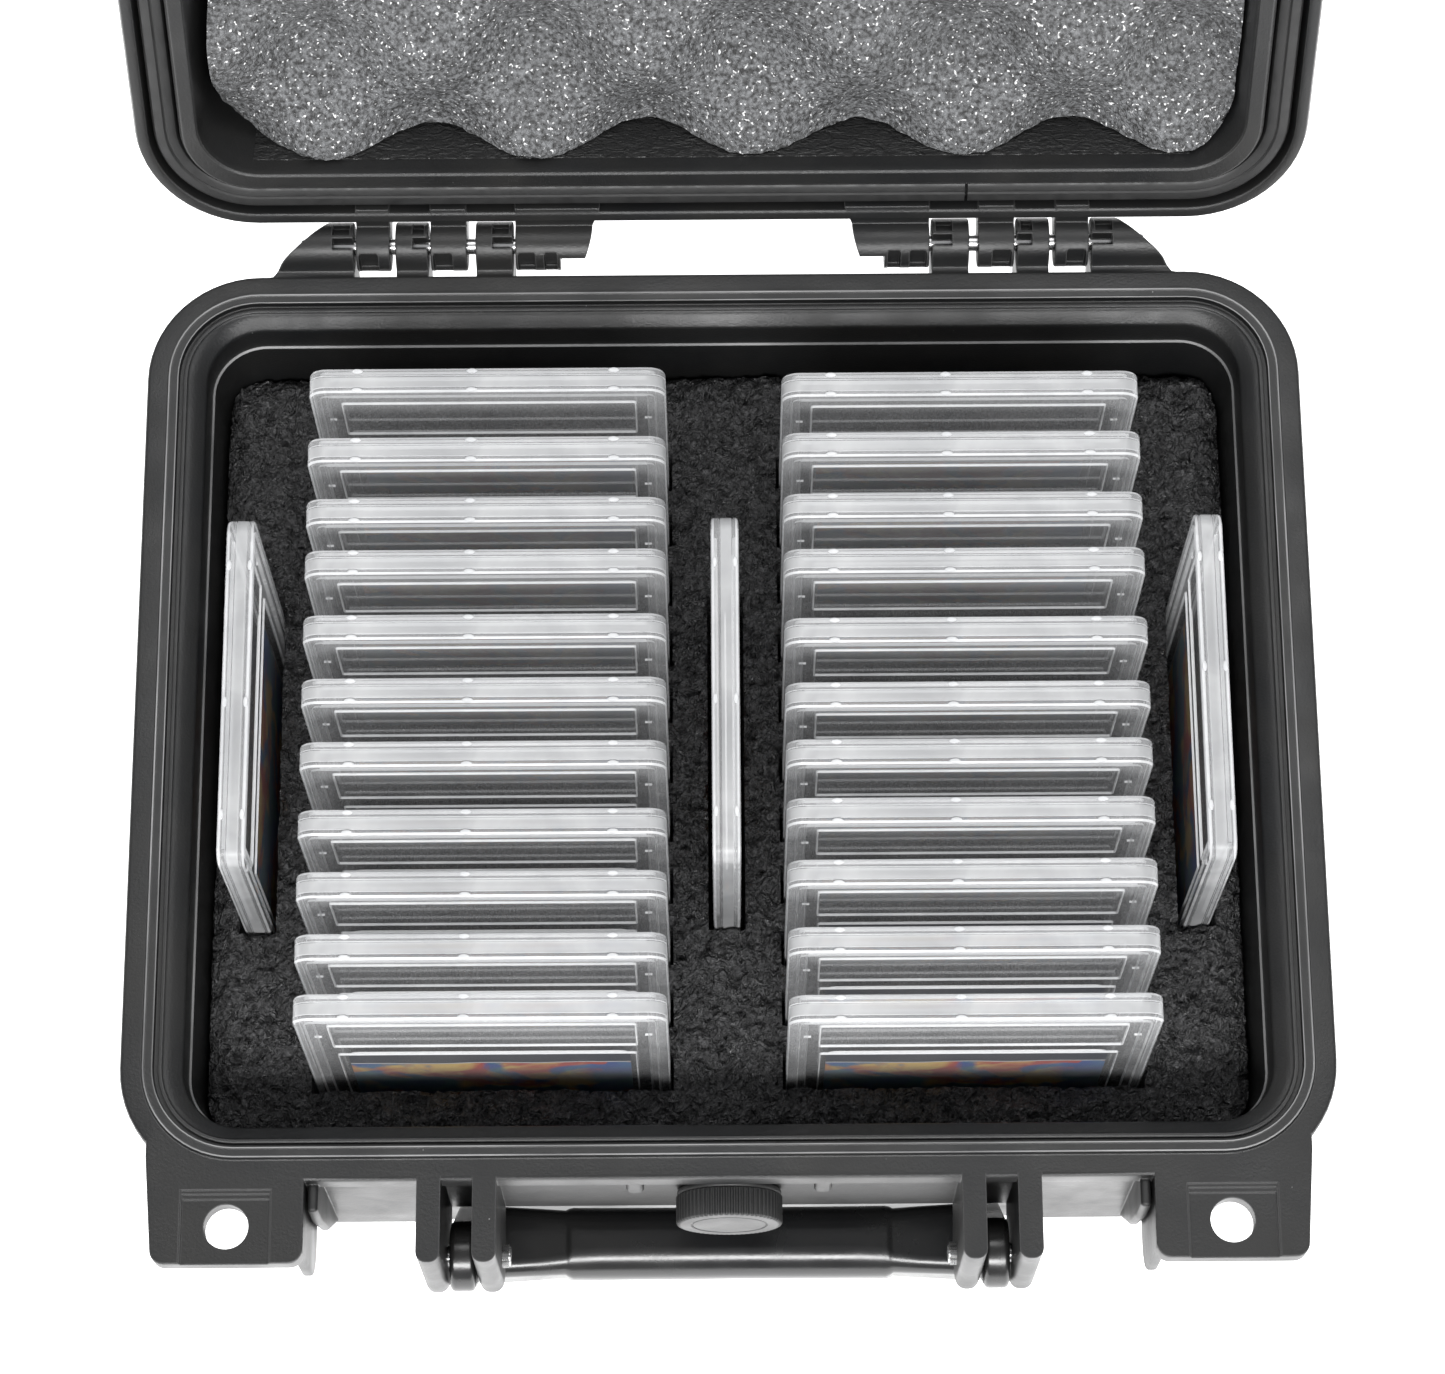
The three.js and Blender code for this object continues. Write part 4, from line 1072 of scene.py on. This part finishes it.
def handle():
    half = HUB_WIDTH / 2
    half_y = 8.6
    arm = [
        *arc(HANDLE_PIVOT, 8.0, 0, 2, 20), (GRIP_Y - half_y, GRIP_Z + 2),
        *arc((GRIP_Y - half_y + 6, GRIP_Z - 1), 6, 2, 3, 8),
        *arc((GRIP_Y + half_y - 6, GRIP_Z - 1), 6, 3, 4, 8), (GRIP_Y + half_y, GRIP_Z + 5),
    ]
    parts = [
        prism(arm, (side * HUB_CENTRE - half, side * HUB_CENTRE + half), "X", bevel=1.3, segments=4)
        for _, side in SIDES
    ]
    # A soft sleeve over the middle of the grip ends in a step, and flatter necks reach the arms.
    stations = [(-59, 8.5, 6.6, 0.55), (-52, 8.3, 6.4, 0.55), (-44, 7.9, 6.1, 0.6), (-38.2, 7.6, 6.0, 0.7)]
    stations += [(-37.4, 8.1, 6.5, 0.8), (-36.4, 8.4, 6.8, 0.9), (-30, 8.4, 6.9, 0.95), (0, 8.3, 6.9, 0.95)]
    stations += [(-x, y, z, r) for x, y, z, r in reversed(stations[:-1])]
    rings = []
    for x, y, z, roundness in stations:
        outline = Outline(y, z, min(y, z) * roundness, 0.0)
        rings.append([(x, GRIP_Y + u, GRIP_Z + v) for u, v in outline_points(outline, steps=10)])
    grip = loft("grip", rings)
    bores = [rod(HANDLE_BORE, mirrored(s, (55, 65)), "X", HANDLE_PIVOT, sides=24) for _, s in SIDES]
    return cut(joined(grip, parts), bores)


def latch_lever(side):
    """A snap lever with a hooked lip, a turned-out end and three grip ribs."""
    pivot_y, pivot_z = LATCH_PIVOT
    inner = -111.0
    points = [
        (inner, pivot_z - 2), *arc(LATCH_PIVOT, 4.0, -0.32, 2, 18), (pivot_y - 4, pivot_z - 3),
        (-115.4, RIM_Z), (-115.4, RIM_Z - 14), (-121.0, RIM_Z - 20.5), (-120.0, RIM_Z - 23),
        (-112.6, RIM_Z - 18.5), (inner, RIM_Z - 14), (inner, RIM_Z - 11.2), (-107.2, RIM_Z - 9),
        (-107.2, RIM_Z - 7.4), (inner, RIM_Z - 7.4),
    ]
    lever = prism(points, mirrored(side, LATCH_X), "X", bevel=0.6, segments=3)
    middle = sum(LATCH_X) / 2
    ribs = []
    for offset in (-6.0, 0.0, 6.0):
        x = mirrored(side, (middle + offset - 0.9, middle + offset + 0.9))
        ribs.append(block(x, (-116.2, -114.5), (RIM_Z - 13, RIM_Z + 5), 0.5))
    joined(lever, ribs)
    cut(lever, [rod(LATCH_BORE, mirrored(side, (60, 100)), "X", LATCH_PIVOT, sides=24)])
    pivot = Vector((0, pivot_y, pivot_z)) * MM
    swing = Matrix.Translation(pivot) @ Matrix.Rotation(-LATCH_OPEN, 4, "X") @ Matrix.Translation(-pivot)
    lever.data.transform(swing)
    return opened(lever)


def fluted_disc(radius, span, flutes):
    """A knob about an axis along Y, its rim cut by narrow flutes. The front end is the second of
    span."""
    steps = flutes * 6
    back, front = span
    levels = [(back, 0.6), (back - 0.4, 0.0), (front + 0.5, 0.0), (front + 0.1, 0.35), (front, 0.7)]
    rings = []
    for y, inset in levels:
        ring = []
        for i in range(steps):
            angle = i * math.tau / steps
            flute = 0.62 * (0.5 + 0.5 * math.cos(angle * flutes)) ** 0.8
            r = radius - inset - (flute if inset < 0.5 else flute * 0.7)
            ring.append((r * math.cos(angle), y, VALVE_Z + r * math.sin(angle)))
        rings.append(ring)
    return loft("knob", rings)


def valve_knob():
    front = -114.8
    knob = fluted_disc(12.0, (-108.1, front), 62)
    groove = rod(8.7, (front - 1, front + 0.35), "Y", (0, VALVE_Z), sides=64)
    island = rod(8.2, (front, front + 2), "Y", (0, VALVE_Z), sides=64, bevel=0.15)
    return joined(cut(knob, [groove]), [island])


def valve_housing():
    collar = rod(10.4, (-108.5, -106.9), "Y", (0, VALVE_Z), sides=64, bevel=0.3)
    stem = rod(5.0, (-108.0, -95.0), "Y", (0, VALVE_Z), sides=40, bevel=0.3)
    threads = [
        rod(5.3, (y, y + 0.5), "Y", (0, VALVE_Z), sides=40, bevel=0.2) for y in (-105.5, -104.3, -103.1)
    ]
    return joined(collar, [stem, *threads])


def valve_nut():
    nut = prism(circle(8, 6), (95.1, 98.5), bevel=0.5)
    nut.data.transform(Matrix.Translation((0, 0, VALVE_Z * MM)) @ Matrix.Rotation(math.radians(90), 4, "X"))
    return cut(nut, [rod(5.3, (-100, -90), "Y", (0, VALVE_Z), sides=32)])


def valve_o_ring():
    rings = []
    for k in range(12):
        t = k * math.tau / 12
        r = 11.3 + 0.5 * math.cos(t)
        y = -107.6 + 0.7 * math.sin(t)
        rings.append([(x, y, z) for x, z in circle(r, 64, (0.0, VALVE_Z))])
    return loft("o_ring", rings, closed=True)


def knurled_pin(side, ends, radius, centre, knurl):
    """A steel pin along X with a chamfer at each end and a knurled length at its inner end."""
    pin = rod(radius, mirrored(side, ends), "X", centre, sides=32, bevel=0.35)
    if not knurl:
        return pin
    steps = 96
    rings = []
    for k in range(9):
        x = ends[0] + 0.4 + knurl * k / 8
        ring = []
        for i in range(steps):
            angle = i * math.tau / steps
            tooth = 0.16 * math.cos(24 * angle)
            r = radius + 0.3 + tooth * (1 if k % 2 else -1)
            ring.append((side * x, centre[0] + r * math.cos(angle), centre[1] + r * math.sin(angle)))
        rings.append(ring)
    return joined(pin, [loft("knurl", rings)])


# ---------------------------------------------------------------- slabs


def slab_shell():
    """Both welded halves of a slab, centred on the origin, its front towards -Y: a stepped rim,
    thin faces, raised frames round the label and small ejector marks."""
    rim = [(4.4, 1.7), (4.15, 2.5), (2.6, 2.55), (2.3, 3.1), (0.8, 3.15), (0.25, 2.9), (0.0, 2.4)]
    front = rim + [(0.0, 1.95), (0.3, 1.85), (0.3, 1.6), (0.02, 1.5)]
    back = rim + [(0.0, 1.25), (0.25, 1.15), (0.25, 1.0), (0.02, 0.9)]
    profile = [(inset, -t) for inset, t in front] + [(inset, t) for inset, t in reversed(back)]
    rings = [[(x, t, z) for x, z in outline_points(SLAB, inset, 8)] for inset, t in profile]
    pieces = [loft("slab_body", rings)]
    top = SLAB.half_y
    for sign in (-1, 1):
        pieces.append(frame_bead((-33.8, 33.8), (top - 27.0, top - 8.9), 0.5, sign))
        pieces.append(frame_bead((-33.4, 33.4), (-61.0, top - 33.5), 0.4, sign))
        for x in (-29.4, -3.4, 28.8):
            pieces.append(ejector_mark(x, top - 0.1, sign))
    for _, side in SIDES:
        tick = block((side * 36.3 - 0.8, side * 36.3 + 0.8), (-1.95, -1.5), (0, 0.35))
        tick.data.transform(Matrix.Translation((0, 0, (top - 18.5) * MM)))
        pieces.append(tick)
    return merged("slab_shell", pieces)


def frame_bead(x, z, width, sign):
    """A thin raised frame on a slab's thin face."""
    outer = Outline((x[1] - x[0]) / 2, (z[1] - z[0]) / 2, 0.8, 0.0)
    middle_z = (z[0] + z[1]) / 2
    rings = []
    for inset, depth in ((0.0, 1.5), (0.1, 2.0), (width - 0.1, 2.0), (width, 1.5)):
        rings.append([(u, sign * depth, v + middle_z) for u, v in outline_points(outer, inset, 3)])
    return loft("bead", rings, closed=True)


def ejector_mark(x, z, sign):
    """A small round pip on the rim's edge."""
    unit = circle(1.0, 20)
    rings = []
    for rise, radius in ((-0.5, 1.25), (0.1, 1.25), (0.35, 1.0), (0.42, 0.5)):
        rings.append([(x + radius * u, sign * 2.3 + 0.45 * radius * v, z + rise) for u, v in unit])
    return loft("pip", rings)


def slab_inset(x, z):
    """How far inside a slab's outline a point is."""
    u, v = abs(x) - (SLAB.half_x - SLAB.radius), abs(z) - (SLAB.half_y - SLAB.radius)
    if u > 0 and v > 0:
        return SLAB.radius - math.hypot(u, v)
    return min(SLAB.half_x - abs(x), SLAB.half_y - abs(z))


def paint_slab(mesh, clear, rim, weld_band_and_highlight, painted_highlight):
    """Chooses a material for each face of a slab by where it lies; narrow ledges, steps, beads and marks on
    the front take a painted highlight.
    """
    for face in mesh.polygons:
        x, y, z = face.center / MM
        inset = slab_inset(x, z)
        steep = abs(face.normal.y) < 0.7
        # Edge faces round the weld: the weld band, its whiteness partly a painted highlight.
        if inset < 1.0 and -1.55 < y < 0.95 and steep:
            face.material_index = weld_band_and_highlight
        elif inset < -0.05 or (inset < 0.24 and 0.4 < abs(face.normal.y) < 0.97):
            face.material_index = painted_highlight
        elif inset < 4.3:
            face.material_index = painted_highlight if steep and inset > 1.0 else rim
        elif len(face.vertices) < 30:
            face.material_index = painted_highlight if y < 0 else rim
        else:
            face.material_index = clear


def card_mesh():
    outline = Outline(31.7, 44.4, 2.5, 0.0)
    rings = [
        [(x, y, z - 15.9) for x, z in outline_points(outline, inset, 5)]
        for y, inset in ((-0.2, 0.05), (-0.12, 0.0), (0.12, 0.0), (0.2, 0.05))
    ]
    return loft("card", rings)


def make_slabs(materials, card_face):
    shell = smoothed(slab_shell(), 25)
    for material in materials:
        shell.data.materials.append(material)
    paint_slab(shell.data, 0, 1, 2, 3)
    card = smoothed(card_mesh())
    card.data.materials.append(card_face)
    for name in slab_names():
        centre, lean, turned = slab_place(name)
        place = Matrix.Translation(centre * MM) @ Matrix.Rotation(-lean, 4, "X")
        if turned:
            facing = 90 if centre.x <= 0 else -90
            place = place @ Matrix.Rotation(math.radians(facing), 4, "Z")
        body = linked(f"{name}_shell", shell.data)
        body.matrix_world = place
        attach(body, name)
        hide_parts(name)
        inner = linked(f"{name}_card", card.data)
        inner.matrix_world = place
        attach(inner, name)
    bpy.data.objects.remove(shell)
    bpy.data.objects.remove(card)


# ---------------------------------------------------------------- assembly

make_camera()
make_stage()

# The base's plastic carries the painted highlight lines.
case_black = moulded_plastic("case_black_plastic", 0.009, 0.4, 0.6, 0.5, lines=True)
lid_black = moulded_plastic("lid_black_plastic", 0.011, 0.4, 0.6, 0.5)
lever_black = moulded_plastic("lever_black_plastic", 0.009, 0.24, 0.8, 0.12, 0.35, 0.3, shine=0.62)
rubber = black_rubber()
steel = bright_steel()
foam_black = cut_foam()
foam_grey = convoluted_foam()

finished(base_shell(), "base_case", "base", case_black, ["base_shell"])
finished(lid_shell(), "lid_case", "lid", lid_black, ["lid_shell"])
finished(lid_gasket(), "lid_seal", "lid", rubber, ["lid_gasket"])
finished(lid_wall_texture(), "lid_wall_texture", "lid", textured_wall())

tray = finished(base_foam(), "slotted_foam", "base", foam_black, ["base_foam"], 60)
pad = finished(base_foam_pad(), "floor_pad", "base", foam_black, ["base_foam_pad"])
lining = finished(lid_foam(), "egg_crate_foam", "lid", foam_grey, ["lid_foam"], 70)
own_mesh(lining)

finished(handle(), "carry_handle", "handle", lever_black, ["handle"])
finished(valve_knob(), "vent_knob", "valve_knob", lid_black, ["valve_knob"])
finished(valve_housing(), "vent_body", "base", lever_black, ["valve_housing"])
finished(valve_nut(), "vent_nut", "base", lever_black, ["valve_nut"])
finished(valve_o_ring(), "vent_seal", "base", rubber, ["valve_o_ring"])
for word, side in SIDES:
    node = f"latch_{word}"
    finished(latch_lever(side), f"snap_latch_{word}", node, lever_black, [node])
    node = f"latch_pin_{word}"
    pin = opened(knurled_pin(side, (66.6, 93.6), 1.6, LATCH_PIVOT, 0))
    finished(pin, f"snap_latch_pin_{word}", "lid", steel, [node])
    node = f"hinge_pin_{word}"
    pin = knurled_pin(side, (35.0, 100.0), 2.0, (HINGE_Y, RIM_Z), 0)
    finished(pin, f"lid_pin_{word}", "base", steel, [node])
    node = f"handle_pin_{word}"
    pin = knurled_pin(side, (49.4, 68.5), 2.2, HANDLE_PIVOT, 1.9)
    finished(pin, f"grip_pin_{word}", "base", steel, [node])

slab_paints = [
    clear_plastic("slab_clear_face", 0.1, 0.24, 0.6, 0.26),
    clear_plastic("slab_rim", 0.22, 0.34, 0.6, 0.08),
    # The weld band round the slab's edge, whitened partly as a painted highlight.
    clear_plastic("slab_weld_band_and_highlight", 0.58, 0.58, 0.6, 0.0, 0.3),
    # A near-opaque light material on narrow ledges and beads: painted highlight lines.
    clear_plastic("slab_painted_highlight_line", 0.62, 0.62, 0.8, 0.0, 0.2),
]
make_slabs(slab_paints, printed_card())
